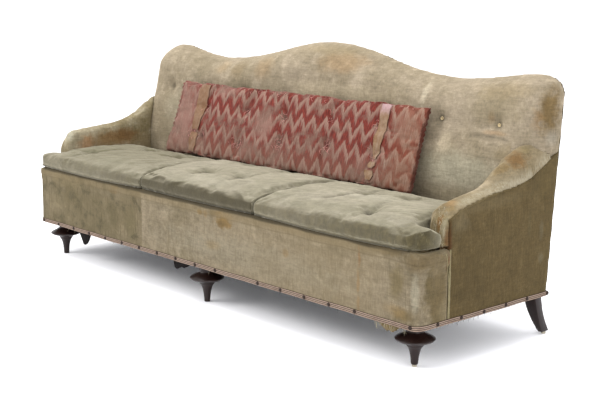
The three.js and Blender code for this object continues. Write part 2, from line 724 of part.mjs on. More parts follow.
// Swept rear leg: [height, inner x, outer x, front y, rear y].
const rearLegLevels = [
  [144.6, 1070, 1118, 634, 670], [112, 1071, 1119, 640, 675], [84, 1076, 1120, 648, 681],
  [56, 1086, 1122, 656, 690], [30, 1098, 1124, 664, 702],
  [GLIDE_HEIGHT + GAP, 1108, 1125, 673, 714], [0, 1108, 1125, 674, 716],
];

function rearLeg(levels) {
  return loft(levels.map(([z, x0, x1, y0, y1]) => [[x0, y0, z], [x1, y0, z], [x1, y1, z], [x0, y1, z]]));
}

function addRearLegs() {
  addPiece('left_rear_leg', mirrored(rearLeg(rearLegLevels)), COLOURS.mahogany, 0.4);
  addPiece('right_rear_leg', rearLeg(rearLegLevels.slice(0, -1)), COLOURS.mahogany, 0.4);
  const middle = rearLegLevels.map(([z, x0, x1, y0, y1]) => [z, (x0 - x1) / 2, (x1 - x0) / 2, y0, y1]);
  addPiece('centre_rear_leg', rearLeg(middle), COLOURS.mahogany, 0.4);
}

addSeatFrame();
addBackFrame();
addArmFrame();
addSeatWebbing();
addBackWebbing();
addSprings();
addBurlap();
addDeck();
addFrontBorder();
addBackUpholstery();
addArms();
addCushions();
addLumbarCushion();
addTrims();
addDustCover();
addFeet();
addRearLegs();

export default sofa;
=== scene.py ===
"""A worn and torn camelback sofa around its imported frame.

Padded covers, loose cushions, trims and feet stand for the frame's plain solids. Lengths inside the
making functions are millimetres from the middle of the sofa, the front face of the seat and the floor;
everything that reaches the scene is in metres in the frame's own axes.
"""

import json
import math
import random

import bmesh
import bpy
import numpy as np
from mathutils import Euler, Matrix, Vector, noise
from mathutils.bvhtree import BVHTree


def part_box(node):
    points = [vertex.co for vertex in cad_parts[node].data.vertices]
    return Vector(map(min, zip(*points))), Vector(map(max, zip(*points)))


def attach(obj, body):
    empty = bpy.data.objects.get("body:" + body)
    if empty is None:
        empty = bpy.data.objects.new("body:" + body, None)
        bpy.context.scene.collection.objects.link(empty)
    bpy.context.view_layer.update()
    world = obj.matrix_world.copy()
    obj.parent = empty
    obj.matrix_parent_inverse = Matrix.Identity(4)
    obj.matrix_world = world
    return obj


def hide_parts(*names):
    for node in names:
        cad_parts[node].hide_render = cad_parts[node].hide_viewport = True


bl_info = {
    "name": "Worn camelback sofa",
    "version": (1, 0, 0),
    "blender": (4, 5, 0),
    "location": "3D View > Sidebar > Sofa",
    "description": "Builds the covers, cushions, trims and feet of a worn sofa on its frame",
    "category": "Object",
}

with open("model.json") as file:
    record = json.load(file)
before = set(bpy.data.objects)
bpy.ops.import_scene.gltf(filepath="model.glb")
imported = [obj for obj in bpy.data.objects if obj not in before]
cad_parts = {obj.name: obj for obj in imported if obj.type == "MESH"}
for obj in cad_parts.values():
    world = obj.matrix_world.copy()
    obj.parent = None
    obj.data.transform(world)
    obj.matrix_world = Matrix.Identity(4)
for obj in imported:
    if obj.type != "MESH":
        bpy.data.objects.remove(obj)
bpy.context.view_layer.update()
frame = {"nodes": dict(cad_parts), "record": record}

MM = 0.001
FRONT_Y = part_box("front_border")[0].y

# Places on the sofa: its sides, the covers' lower edge, the seams between the seat cushions, the deck
# under them, an arm's inner face and foot, and the foot of the rear cover.
HALF_LENGTH = 1134
COVER_BOTTOM = 145
SEAM_X = 346
DECK_TOP = 403
ARM_INSIDE = 1046
ARM_FOOT = 402.2
REAR_FOOT_Y = 678

# Tufts of the back, and the ones that still have a button where the back shows.
BACK_BUTTONS = (-948, -685, -422, -160, 160, 422, 685, 948)
BACK_BUTTON_HEIGHT = 735
KEPT_BUTTONS = (685, 948)

# Where the top line of a cover outside an arm is read, in metres from the middle.
TOP_LINE_X = 1.125

# Nails: height above the floor, how far they stand out, and their places along the front and the sides.
NAIL_HEIGHT = 155
NAIL_OUTSET = 3.2
NAIL_FLATNESS = 0.55
FRONT_NAILS = 19
MIDDLE_NAIL_X = -3
LOST_NAILS = (11, 17)
SIDE_NAILS = {-1: (26, 209, 326, 443, 560, 677), 1: (92, 209, 326, 443, 560, 677)}

GIMP_HEIGHT = 17
GIMP_POINTS = 25
DUST_CLOTH_HEIGHT = 0.149
GLIDE_TOP = 8.4
THREAD_STEPS = 4
STRAP_WIDTH = 0.05
LEAST_STRAP_SHARE = 0.31

# Local frame of the lumbar cushion: across, through and up its face.
LUMBAR_PLACE = (-47, 438, 480)
LUMBAR_LEAN = 0.31
LUMBAR_TWIST = 0.0205
LUMBAR_HALF = 715
LUMBAR_HEIGHT = 320
LUMBAR_DEPTH = 52
LUMBAR_SWELL = 0.013

# Tufts of the seat cushions and of the lumbar cushion.
SEAT_TUFTS = {
    "left_seat_cushion": ((-905, 115), (-785, 350), (-555, 340)),
    "centre_seat_cushion": ((-110, 150), (67, 172), (-145, 405), (79, 402)),
    "right_seat_cushion": ((616, 292), (835, 88), (800, 334)),
}
LUMBAR_TUFTS = ((-500, 207), (-239, 214), (-10, 209), (252, 230), (505, 217),
                (-500, 82), (-248, 74), (-9, 100), (254, 121), (505, 107))

# Creases worn between tufts of the seat cushions: from, to, depth.
SEAT_CREASES = {
    "left_seat_cushion": (
        ((-555, 340), (-620, 300), 4), ((-785, 350), (-860, 380), 3), ((-460, 400), (-400, 300), 2)),
    "centre_seat_cushion": (
        ((-110, 150), (-150, 165), 4), ((67, 172), (0, 190), 4), ((-345, 420), (-250, 400), 3)),
    "right_seat_cushion": (
        ((590, 120), (616, 292), 8), ((835, 88), (790, 105), 5), ((800, 334), (760, 350), 4)),
}

# Depth of the small wrinkles of each seat cushion, and the turn of their direction.
SEAT_WRINKLES = {"left_seat_cushion": 2.6, "centre_seat_cushion": 1.9, "right_seat_cushion": 1.9}
WRINKLE_TURN = 0.5


def tone(code):
    """A six-digit screen colour as linear red, green and blue."""
    values = [int(code[i:i + 2], 16) / 255 for i in (0, 2, 4)]
    return tuple(v / 12.92 if v <= 0.04045 else ((v + 0.055) / 1.055) ** 2.4 for v in values)


# ---------------------------------------------------------------- properties a user would change

def colour_property(name, code, description):
    return bpy.props.FloatVectorProperty(name=name, subtype="COLOR", size=3, min=0, max=1,
                                         default=tone(code), description=description)


class SofaSizes(bpy.types.PropertyGroup):
    cushion_swell: bpy.props.FloatProperty(
        name="Cushion swell", default=0.014, min=0.005, max=0.03, unit="LENGTH",
        description="How far the padding may push a cushion's cover out")
    tuft_depth: bpy.props.FloatProperty(
        name="Back tuft depth", default=0.017, min=0, max=0.03, unit="LENGTH",
        description="How deep the buttons pull the back in")
    nail_radius: bpy.props.FloatProperty(
        name="Nail radius", default=0.0072, min=0.002, max=0.012, unit="LENGTH",
        description="Radius of a decorative nail's head")
    nail_spacing: bpy.props.FloatProperty(
        name="Nail spacing", default=0.123, min=0.03, max=0.3, unit="LENGTH",
        description="Distance between the nails along the front")
    button_radius: bpy.props.FloatProperty(
        name="Button radius", default=0.0065, min=0.004, max=0.02, unit="LENGTH",
        description="Radius of a button on the back")
    thread_radius: bpy.props.FloatProperty(
        name="Thread radius", default=0.0006, min=0.0002, max=0.002, unit="LENGTH",
        description="Half the thickness of a frayed thread")


class SofaColours(bpy.types.PropertyGroup):
    velvet: colour_property("Velvet", "AE9F84", "The cover's ordinary worn velvet")
    shade: colour_property("Velvet shade", "82714F", "The velvet where its pile still stands")
    bare: colour_property("Bare velvet", "C9B99B", "The velvet rubbed down to its ground")
    olive: colour_property("Olive velvet", "77663F", "The velvet of the outside panels")
    stain: colour_property("Stain", "9A7434", "Ochre water stains")
    rose: colour_property("Rose velvet", "C2887F", "Ground of the lumbar cushion")
    brick: colour_property("Brick zigzag", "B03A2B", "Zigzags of the lumbar cushion")
    strap: colour_property("Strap", "B58C62", "The worn straps")
    wood: colour_property("Polished wood", "1E100D", "The feet")


# How much of their tones' light the cloths give back under the studio lights.
BACK_LEVEL = (0.434, 0.434, 0.464)
# The left arm's level is lighter and bluer than the right's: painted light that makes up for the shade on
# its inner face.
ARM_LEVELS_WITH_PAINTED_LIGHT = {"left": (0.59, 0.65, 0.77), "right": (0.415, 0.42, 0.45)}
CUSHION_LEVEL = (0.312, 0.310, 0.308)
FRONT_LEVEL = (0.342, 0.335, 0.342)
OUTSIDE_LEVEL = (0.262, 0.243, 0.236)
LUMBAR_LEVEL = (0.284, 0.326, 0.292)
STRAP_LEVEL = (0.385, 0.43, 0.55)


def sizes():
    return bpy.context.scene.sofa_sizes


def colours():
    return bpy.context.scene.sofa_colours


# ---------------------------------------------------------------- shader maths

class Socket:
    """One output of a material's nodes, which can be used in ordinary sums."""

    def __init__(self, shade, output):
        self.shade = shade
        self.output = output

    def sum_with(self, operation, first, second):
        return self.shade.node("ShaderNodeMath", {"operation": operation}, {0: first, 1: second})

    def __add__(self, other):
        return self.sum_with("ADD", self, other)

    __radd__ = __add__

    def __sub__(self, other):
        return self.sum_with("SUBTRACT", self, other)

    def __rsub__(self, other):
        return self.sum_with("SUBTRACT", other, self)

    def __mul__(self, other):
        return self.sum_with("MULTIPLY", self, other)

    __rmul__ = __mul__

    def __truediv__(self, other):
        return self.sum_with("DIVIDE", self, other)


class Shade:
    """A material in the making."""

    def __init__(self, name, **constants):
        self.material = bpy.data.materials.new(name)
        self.material.use_nodes = True
        self.tree = self.material.node_tree
        self.tree.nodes.clear()
        self.shader = self.tree.nodes.new("ShaderNodeBsdfPrincipled")
        result = self.tree.nodes.new("ShaderNodeOutputMaterial")
        self.tree.links.new(self.shader.outputs[0], result.inputs["Surface"])
        for key, value in constants.items():
            self.put(value, self.shader.inputs[key.replace("_", " ").title().replace("Ior", "IOR")])
        self.place = self.node("ShaderNodeTexCoord", {}, {}, "Object")

    def put(self, value, target):
        if isinstance(value, Socket):
            self.tree.links.new(value.output, target)
        elif target.type == "RGBA" and len(value) == 3:
            target.default_value = (*value, 1)
        else:
            target.default_value = value

    def node(self, kind, settings, inputs, output=0):
        made = self.tree.nodes.new(kind)
        for key, value in settings.items():
            setattr(made, key, value)
        for key, value in inputs.items():
            self.put(value, made.inputs[key])
        return Socket(self, made.outputs[output])

    def moved(self, centre=(0, 0, 0), size=(1, 1, 1), vector=None):
        """Coordinates counted from a centre in units of a size."""
        values = {"Vector": vector or self.place, "Location": centre, "Scale": size}
        return self.node("ShaderNodeMapping", {"vector_type": "TEXTURE"}, values)

    def grain(self, size, detail=3.0, roughness=0.55, distortion=0.0, vector=None):
        """Noise between 0 and 1 with features of about a size in metres, or one size for each axis."""
        if isinstance(size, tuple):
            vector = self.moved(size=size, vector=vector)
            size = 1.0
        return self.node("ShaderNodeTexNoise", {},
                         {"Vector": vector or self.place, "Scale": 1 / size, "Detail": detail,
                          "Roughness": roughness, "Distortion": distortion})

    def between(self, value, low, high):
        """0 at low and 1 at high, eased."""
        return self.node("ShaderNodeMapRange", {"interpolation_type": "SMOOTHSTEP"},
                         {"Value": value, "From Min": low, "From Max": high})

    def mix(self, factor, first, second, blend="MIX"):
        return self.node("ShaderNodeMix", {"data_type": "RGBA", "blend_type": blend},
                         {0: factor, 6: first, 7: second}, 2)

    def dimmed(self, colour, amount):
        """A colour multiplied by a number that varies over the surface."""
        return self.node("ShaderNodeVectorMath", {"operation": "SCALE"}, {0: colour, "Scale": amount})

    def attribute(self, name, output="Fac"):
        return self.node("ShaderNodeAttribute", {"attribute_name": name}, {}, output)

    def axis(self, vector, letter):
        return self.node("ShaderNodeSeparateXYZ", {}, {0: vector}, letter)

    def spot(self, centre, reach, ragged=0.5, vector=None):
        """1 in the middle of a ragged round patch and 0 outside it. Centre and reach are in millimetres."""
        centre = spot_place(centre) if vector is None else tuple(v * MM for v in centre)
        local = self.moved(centre, size=tuple(v * MM for v in reach), vector=vector)
        distance = self.node("ShaderNodeVectorMath", {"operation": "LENGTH"}, {0: local}, "Value")
        rough_edge = (self.grain(0.035, 4.0, 0.65, vector=vector) - 0.5) * (2 * ragged)
        return self.between(distance + rough_edge, 1.0, 0.25)

    def paint(self, colour, level=None):
        """Sets the base colour. A level cuts down how much light each of its channels gives back."""
        if level is not None:
            colour = self.mix(1, colour, level, "MULTIPLY")
        self.put(colour, self.shader.inputs["Base Color"])

    def bumped(self, height, strength=0.4, distance=0.001):
        values = {"Strength": strength, "Distance": distance, "Height": height}
        normal = self.node("ShaderNodeBump", {}, values)
        self.put(normal, self.shader.inputs["Normal"])


def spot_place(centre):
    x, y, z = centre
    return (x * MM, FRONT_Y + y * MM, z * MM)


# ---------------------------------------------------------------- meshes

def select_nothing():
    bpy.ops.object.select_all(action="DESELECT")


def select_only(obj):
    select_nothing()
    obj.select_set(True)
    bpy.context.view_layer.objects.active = obj


def apply_modifier(obj, kind, **settings):
    select_only(obj)
    modifier = obj.modifiers.new(kind.title(), kind)
    for key, value in settings.items():
        setattr(modifier, key, value)
    bpy.ops.object.modifier_apply(modifier=modifier.name)


def smooth(obj, degrees=180):
    select_only(obj)
    if degrees >= 180:
        bpy.ops.object.shade_smooth()
    else:
        bpy.ops.object.shade_smooth_by_angle(angle=math.radians(degrees))


def finish_piece(obj, material, nodes=()):
    """Gives a piece its material and ties it to the frame."""
    obj.data.materials.clear()
    obj.data.materials.append(material)
    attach(obj, "root")
    if nodes:
        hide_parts(*nodes)
    return obj


def points_of(obj):
    flat = np.empty(len(obj.data.vertices) * 3)
    obj.data.vertices.foreach_get("co", flat)
    return flat.reshape(-1, 3)


def normals_of(obj):
    flat = np.empty(len(obj.data.vertices) * 3, np.float32)
    obj.data.vertex_normals.foreach_get("vector", flat)
    return flat.reshape(-1, 3).astype(float)


def set_points(obj, points):
    obj.data.vertices.foreach_set("co", np.asarray(points, np.float32).ravel())
    obj.data.update()


def sofa_mm(points):
    """Points in metres as three arrays of millimetres from the middle, the front face and the floor."""
    return points[:, 0] / MM, (points[:, 1] - FRONT_Y) / MM, points[:, 2] / MM


def store(obj, name, values):
    """Keeps a number, or three, for each point of a mesh for its material to read."""
    values = np.asarray(values, np.float32)
    kind = "FLOAT" if values.ndim == 1 else "FLOAT_VECTOR"
    layer = obj.data.attributes.new(name, kind, "POINT")
    layer.data.foreach_set("value" if values.ndim == 1 else "vector", values.ravel())


def eased(values, low, high):
    """0 at low and 1 at high, eased, for arrays; low may be above high."""
    share = np.clip((values - low) / (high - low), 0, 1)
    return share * share * (3 - 2 * share)


def waves(points, size, seed):
    """Smooth noise from about -1 to 1 with features of a size in metres, one size or one for each axis."""
    scaled = points / np.asarray(size) + seed * 17.31
    return np.array([noise.noise(Vector(p)) for p in scaled])


def skin_of(node, name, voxel, smoothing):
    """A soft even skin over a node's plain solid, ready to be shaped."""
    obj = bpy.data.objects.new(name, frame["nodes"][node].data.copy())
    bpy.context.scene.collection.objects.link(obj)
    select_only(obj)
    bpy.ops.object.mode_set(mode="EDIT")
    bpy.ops.mesh.select_all(action="SELECT")
    bpy.ops.mesh.remove_doubles(threshold=0.00001)
    bpy.ops.object.mode_set(mode="OBJECT")
    apply_modifier(obj, "REMESH", mode="VOXEL", voxel_size=voxel)
    apply_modifier(obj, "SMOOTH", factor=0.5, iterations=smoothing)
    return obj


def turn_faces_out():
    """Ends the editing of a mesh with all its faces turned outwards."""
    bpy.ops.mesh.select_all(action="SELECT")
    bpy.ops.mesh.normals_make_consistent(inside=False)
    bpy.ops.object.mode_set(mode="OBJECT")


def loft(name, runs):
    """One mesh of closed tubes. Each run is a list of rings of points in metres, with capped ends."""
    mesh = bpy.data.meshes.new(name)
    build = bmesh.new()
    for rings in runs:
        made = [[build.verts.new(p) for p in ring] for ring in rings]
        count = len(made[0])
        for here, there in zip(made, made[1:]):
            for i in range(count):
                j = (i + 1) % count
                build.faces.new((here[i], here[j], there[j], there[i]))
        build.faces.new(made[0][::-1])
        build.faces.new(made[-1])
    bmesh.ops.recalc_face_normals(build, faces=build.faces)
    build.to_mesh(mesh)
    build.free()
    obj = bpy.data.objects.new(name, mesh)
    bpy.context.scene.collection.objects.link(obj)
    return obj


def tube(points, radius, sides=6, taper=1.0):
    """Rings round a line of points, for loft."""
    line = [Vector(p) for p in points]
    rings = []
    side = None
    for i, point in enumerate(line):
        ahead = (line[min(i + 1, len(line) - 1)] - line[max(i - 1, 0)]).normalized()
        if side is None:
            side = ahead.orthogonal().normalized()
        side = (side - ahead * side.dot(ahead)).normalized()
        across = ahead.cross(side)
        size = radius * (1 + (taper - 1) * i / (len(line) - 1))
        rings.append([point + (side * math.cos(a) + across * math.sin(a)) * size
                      for a in (2 * math.pi * k / sides for k in range(sides))])
    return rings


def place(x, y, z):
    """A point in the frame's metres from millimetres."""
    return Vector((x * MM, FRONT_Y + y * MM, z * MM))


# ---------------------------------------------------------------- materials

def velvet(name, pile, deep, bare, wear=0.5, mould=0.0, streaks=(0.006, 0.006, 0.05), ripples=0.3,
           stains=(), sheen=0.25, level=(1, 1, 1), finish=None):
    """Old velvet: uneven pile, rubbed and matted places, stains, and a fine woven ground.

    Each stain is a middle and a reach in millimetres, a tone, a strength, and how ragged its edge is
    where that isn't 0.45. level sets how much of its tones' light the pile gives back, and finish adds
    what is particular to one piece.
    """
    shade = Shade(name, roughness=0.9, sheen_weight=sheen, sheen_roughness=0.5,
                  sheen_tint=tuple(min(1, c * 1.6) for c in bare), specular_ior_level=0.15)
    broad = shade.grain(0.33, 4.0, 0.6)
    patch = shade.grain(0.075, 4.0, 0.62, 0.6)
    mottle = shade.grain(0.03, 5.0, 0.7)
    fine = shade.grain(0.011, 3.0, 0.7)
    thread = shade.grain(0.0022, 2.0, 0.6)
    streak = shade.grain(streaks, 3.0, 0.6)
    ripple = shade.grain((0.055, 0.055, 0.008), 4.0, 0.65, 0.3)
    warp = shade.grain((0.0045, 0.0045, 0.04), 2.0, 0.6)
    weft = shade.grain((0.04, 0.04, 0.0045), 2.0, 0.6)
    colour = shade.mix(shade.between(broad * 0.65 + patch * 0.35, 0.38, 0.60), deep, pile)
    colour = shade.mix(shade.between(patch * 0.4 + mottle * 0.6, 0.50, 0.68) * wear, colour, bare)
    colour = shade.mix(shade.between(streak, 0.52, 0.75) * (0.6 * wear), colour, bare)
    if mould:
        dark = shade.between(patch * 0.45 + mottle * 0.55, 0.49, 0.36) * mould
        colour = shade.mix(dark, colour, tuple(c * 0.5 for c in deep))
    for centre, reach, tint, strength, *ragged in stains:
        mask = shade.spot(centre, reach, ragged[0] if ragged else 0.45) * strength
        colour = shade.mix(mask, colour, tint)
    value = (fine - 0.5) * 0.7 + (mottle - 0.5) * 0.45 + (ripple - 0.5) * (2 * ripples)
    value = value + (patch - 0.5) * 0.3
    value = value + (warp + weft - 1) * 0.45 + (thread - 0.5) * 0.3 + 1
    colour = shade.dimmed(colour, value)
    if finish:
        colour = finish(shade, colour)
    shade.paint(colour, level)
    shade.bumped(thread * 0.5 + fine * 0.9 + warp * 0.3 + weft * 0.3 + ripple * (3 * ripples), 0.6, 0.0014)
    return shade.material


def plain_cloth(name, colour, size=0.0025, dark=0.55, roughness=0.95):
    """An open plain weave whose threads run along all three axes."""
    shade = Shade(name, roughness=roughness, specular_ior_level=0.1)
    weave = shade.grain((size, size, size * 9), 2.0) * 0.5 + shade.grain((size * 9, size, size), 2.0) * 0.5
    dirt = shade.grain(0.09, 4.0, 0.6)
    base = shade.mix(shade.between(weave, 0.4, 0.62), tuple(c * dark for c in colour), colour)
    base = shade.dimmed(base, 0.7 + dirt * 0.6)
    shade.paint(base)
    shade.bumped(weave, 0.5, 0.001)
    return shade.material


def wood(name, colour, light, roughness, coat):
    """Wood with grain along its length, darker in streaks of that grain and paler where it is knocked."""
    shade = Shade(name, coat_weight=coat, coat_roughness=0.25, specular_ior_level=0.22)
    grain = shade.grain((0.004, 0.004, 0.07), 5.0, 0.6, 0.4)
    knocks = shade.grain(0.012, 5.0, 0.75)
    base = shade.mix(shade.between(grain, 0.3, 0.7), tuple(c * 0.55 for c in colour), colour)
    base = shade.mix(shade.between(knocks, 0.60, 0.72) * 0.6, base, light)
    shade.paint(base)
    shade.put(shade.between(knocks, 0.3, 0.8) * 0.25 + roughness, shade.shader.inputs["Roughness"])
    shade.bumped(grain * 0.4 + knocks * 0.4, 0.25, 0.0008)
    return shade.material


def metal(name, colour, roughness):
    """Dull metal with small darker marks."""
    shade = Shade(name, metallic=0.85)
    marks = shade.grain(0.004, 4.0, 0.7)
    shade.paint(shade.mix(marks, tuple(c * 0.45 for c in colour), colour))
    shade.put(marks * 0.4 + roughness, shade.shader.inputs["Roughness"])
    return shade.material


# ---------------------------------------------------------------- padded covers

def back_velvet():
    """The back's velvet, with the water marks at its right end, the worn places along its top, painted
    shade in its folds and a band of painted light above the lumbar cushion.
    """
    c = colours()
    warm = tone("AD8B5E")
    stains = (
        ((820, 560, 560), (290, 140, 100), tone("BDB79A"), 0.7, 0.35),
        ((840, 560, 470), (260, 140, 50), tone("9A8F70"), 0.7, 0.4),
        ((1124, 655, 800), (44, 80, 140), tone("7C6438"), 0.9, 0.6),
        ((1105, 600, 770), (34, 60, 70), tone("B08A5C"), 0.5, 0.6),
        ((1134, 660, 705), (26, 60, 45), tone("ADA692"), 0.6, 0.4),
        ((1010, 600, 640), (60, 90, 50), tone("A28F66"), 0.6, 0.5),
        ((945, 600, 708), (70, 90, 12), tone("B58D5E"), 0.35),
        ((985, 600, 765), (36, 90, 60), c.bare, 0.5),
        ((918, 600, 760), (22, 90, 30), tone("8C6A3E"), 0.5),
        ((735, 590, 655), (44, 90, 60), tone("D2C2A0"), 0.75, 0.6),
        ((660, 600, 690), (60, 90, 90), tone("8E8064"), 0.5),
        ((250, 620, 850), (45, 90, 75), c.bare, 0.6, 0.3),
        ((590, 620, 820), (22, 90, 60), tone("D0C3A4"), 0.8, 0.5),
        ((140, 640, 905), (190, 120, 60), warm, 0.5),
        # Painted light: a pale band just above the lumbar cushion that lifts the shade it casts on the
        # back.
        ((120, 590, 790), (520, 90, 50), tone("BDAE8C"), 0.55, 0.4),
        ((940, 600, 800), (180, 90, 90), tone("9A8C6A"), 0.5, 0.5),
        ((60, 640, 950), (300, 120, 26), tone("A08E68"), 0.5),
        ((-500, 620, 840), (70, 90, 60), tone("8F7A55"), 0.5),
        ((-330, 620, 860), (90, 90, 70), warm, 0.4),
        ((-620, 620, 850), (60, 90, 50), tone("A98F66"), 0.5),
        ((-1000, 620, 880), (120, 120, 70), c.bare, 0.35),
        ((-900, 600, 640), (110, 90, 120), tone("A49B80"), 0.5),
        ((-760, 600, 800), (70, 90, 90), tone("93866A"), 0.4),
        ((950, 620, 860), (200, 90, 50), tone("A3906A"), 0.5),
    )

    def finish(shade, colour):
        # Painted shade: the velvet darkens in the folds round the tufts and in the sag below them.
        return shade.dimmed(colour, 1 - shade.attribute("painted_hollow_shade") * 0.55)

    return velvet("back_velvet", c.velvet, tone("9B8D70"), c.bare, wear=0.45, ripples=0.32,
                  stains=stains, level=BACK_LEVEL, finish=finish)


def make_back():
    """The padded inside back with its row of tufts."""
    obj = skin_of("inside_back", "back_cover", 0.009, 6)
    points, normals = points_of(obj), normals_of(obj)
    x, y, z = sofa_mm(points)
    facing = np.clip(-normals[:, 1] * 1.3, 0, 1)
    depth = sizes().tuft_depth / MM
    # pull is how far back a point goes, in millimetres, and the other sum how deep in a fold a point lies,
    # which the velvet darkens as painted shade.
    pull = np.zeros(len(x))
    painted_hollow_shade = np.zeros(len(x))
    for number, button_x in enumerate(BACK_BUTTONS):
        across, up = x - button_x, z - BACK_BUTTON_HEIGHT
        distance = np.hypot(across, up)
        angle = np.arctan2(up, across)
        folds = 1 + 0.35 * np.cos(5 * angle + number) * eased(distance, 5, 40)
        pull += depth * np.exp(-(distance / 30) ** 1.3) * folds + 6 * np.exp(-(distance / 115) ** 2)
        pull += 2.2 * np.exp(-(across / 24) ** 2) * eased(z, 560, 720) * eased(z, 790, 740)
        painted_hollow_shade += np.exp(-((distance - 5) / 9) ** 2)
    # The shallow furrow along the row of tufts, and the sagging crease below it at the right end.
    pull += 3.5 * np.exp(-((z - BACK_BUTTON_HEIGHT) / 34) ** 2) * eased(np.abs(x), 1040, 960)
    crease = 690 + 3 * np.sin(x / 45)
    sag = np.exp(-((z - crease) / 7) ** 2) * eased(x, 820, 850) * eased(x, 1030, 1000)
    pull += 5 * sag
    painted_hollow_shade += 0.6 * sag
    pull += 4.5 * waves(points, (0.30, 0.3, 0.22), 1) + 1.5 * waves(points, 0.07, 2)
    pull += 0.9 * waves(points, (0.09, 0.09, 0.014), 14) * eased(np.abs(waves(points, 0.2, 15)), 0.0, 0.3)
    points[:, 1] += pull * facing * MM
    rear = eased(normals[:, 1], -0.2, 0.5) * (y > 620)
    points[:, 1] += 5 * rear * MM
    set_points(obj, points)
    store(obj, "painted_hollow_shade", np.clip(painted_hollow_shade, 0, 1) * facing)
    smooth(obj)
    finish_piece(obj, back_velvet(), ["inside_back"])


def arm_velvet(side):
    """An arm's velvet, which turns into the darker one of the outside covers beyond its worn edge."""
    c = colours()
    if side == "right":
        stains = (
            ((1112, 124, 460), (50, 50, 120), tone("9A8860"), 0.8, 0.5),
            ((1120, 126, 470), (9, 40, 60), tone("B3A988"), 0.6, 0.6),
            ((1104, 122, 478), (10, 40, 50), tone("8A6230"), 0.8, 0.8),
            ((1130, 140, 425), (12, 30, 55), tone("6E4A26"), 0.85, 0.7),
            ((1092, 190, 532), (26, 60, 16), tone("A8814C"), 0.65, 0.8),
            ((1110, 160, 520), (20, 40, 16), tone("A08450"), 0.6, 0.6),
            ((1098, 520, 645), (46, 80, 46), tone("886538"), 0.85, 0.8),
            ((1085, 460, 612), (30, 70, 30), tone("93794C"), 0.7, 0.7),
            ((1110, 250, 535), (24, 90, 16), tone("9A8B66"), 0.6, 0.6),
            ((1075, 380, 570), (24, 60, 20), tone("C8B592"), 0.7, 0.5),
            ((1075, 330, 560), (14, 170, 16), c.bare, 0.5),
            ((1100, 560, 668), (26, 30, 22), tone("A59368"), 0.6),
        )
    else:
        stains = (
            ((-1050, 340, 500), (30, 210, 56), tone("86653C"), 0.9, 0.5),
            ((-1050, 400, 515), (30, 110, 40), tone("755028"), 0.7, 0.6),
            ((-1050, 190, 490), (30, 60, 50), tone("A6764A"), 0.6, 0.7),
            ((-1050, 520, 470), (30, 90, 70), tone("8A7450"), 0.7),
            ((-1075, 112, 530), (40, 50, 46), tone("B9AE90"), 0.6),
            ((-1090, 350, 590), (30, 260, 22), tone("9A8760"), 0.6),
        )

    def finish(shade, colour):
        threads = shade.grain((0.008, 0.0035, 0.02), 3.0, 0.6)
        cream = shade.attribute("worn") * shade.between(threads + shade.grain(0.05) * 0.6, 0.60, 0.95)
        colour = shade.mix(cream * 0.75, colour, tone("C6BC9E"))
        pile = shade.mix(shade.between(threads, 0.35, 0.7), tone("5F5030"), tone("86764F"))
        return shade.mix(shade.attribute("outer") * 0.9, colour, pile)

    # The left arm's level paints it lighter than the right one, as painted light.
    return velvet(f"{side}_arm_velvet", tone("9C8B6A"), tone("7E6C48"), tone("B7A888"), wear=0.45,
                  stains=stains, level=ARM_LEVELS_WITH_PAINTED_LIGHT[side], finish=finish)


def tree_of(obj):
    """A mesh as a tree that finds nearest points and ray hits."""
    return BVHTree.FromPolygons([v.co for v in obj.data.vertices], [p.vertices for p in obj.data.polygons])


def sharpen_seams(obj, node, neighbours, reach=0.009):
    """Draws a skin back out to its solid where another cover is sewn to it, so that no groove is left."""
    solid = tree_of(frame["nodes"][node])
    others = [tree_of(frame["nodes"][name]) for name in neighbours]
    points = points_of(obj)
    for i, point in enumerate(points):
        here = Vector(point)
        if any(other.find_nearest(here, reach)[0] is not None for other in others):
            points[i] = solid.find_nearest(here)[0]
    set_points(obj, points)


def top_line(node, x):
    """Height of a node's top edge at places along its depth, both in metres."""
    tree = tree_of(frame["nodes"][node])
    low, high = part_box(node)
    ys = np.arange(low.y + 0.001, high.y - 0.001, 0.003)
    hits = [tree.ray_cast(Vector((x, y, 2)), Vector((0, 0, -1)))[0] for y in ys]
    return ys, np.array([0 if hit is None else hit.z for hit in hits])


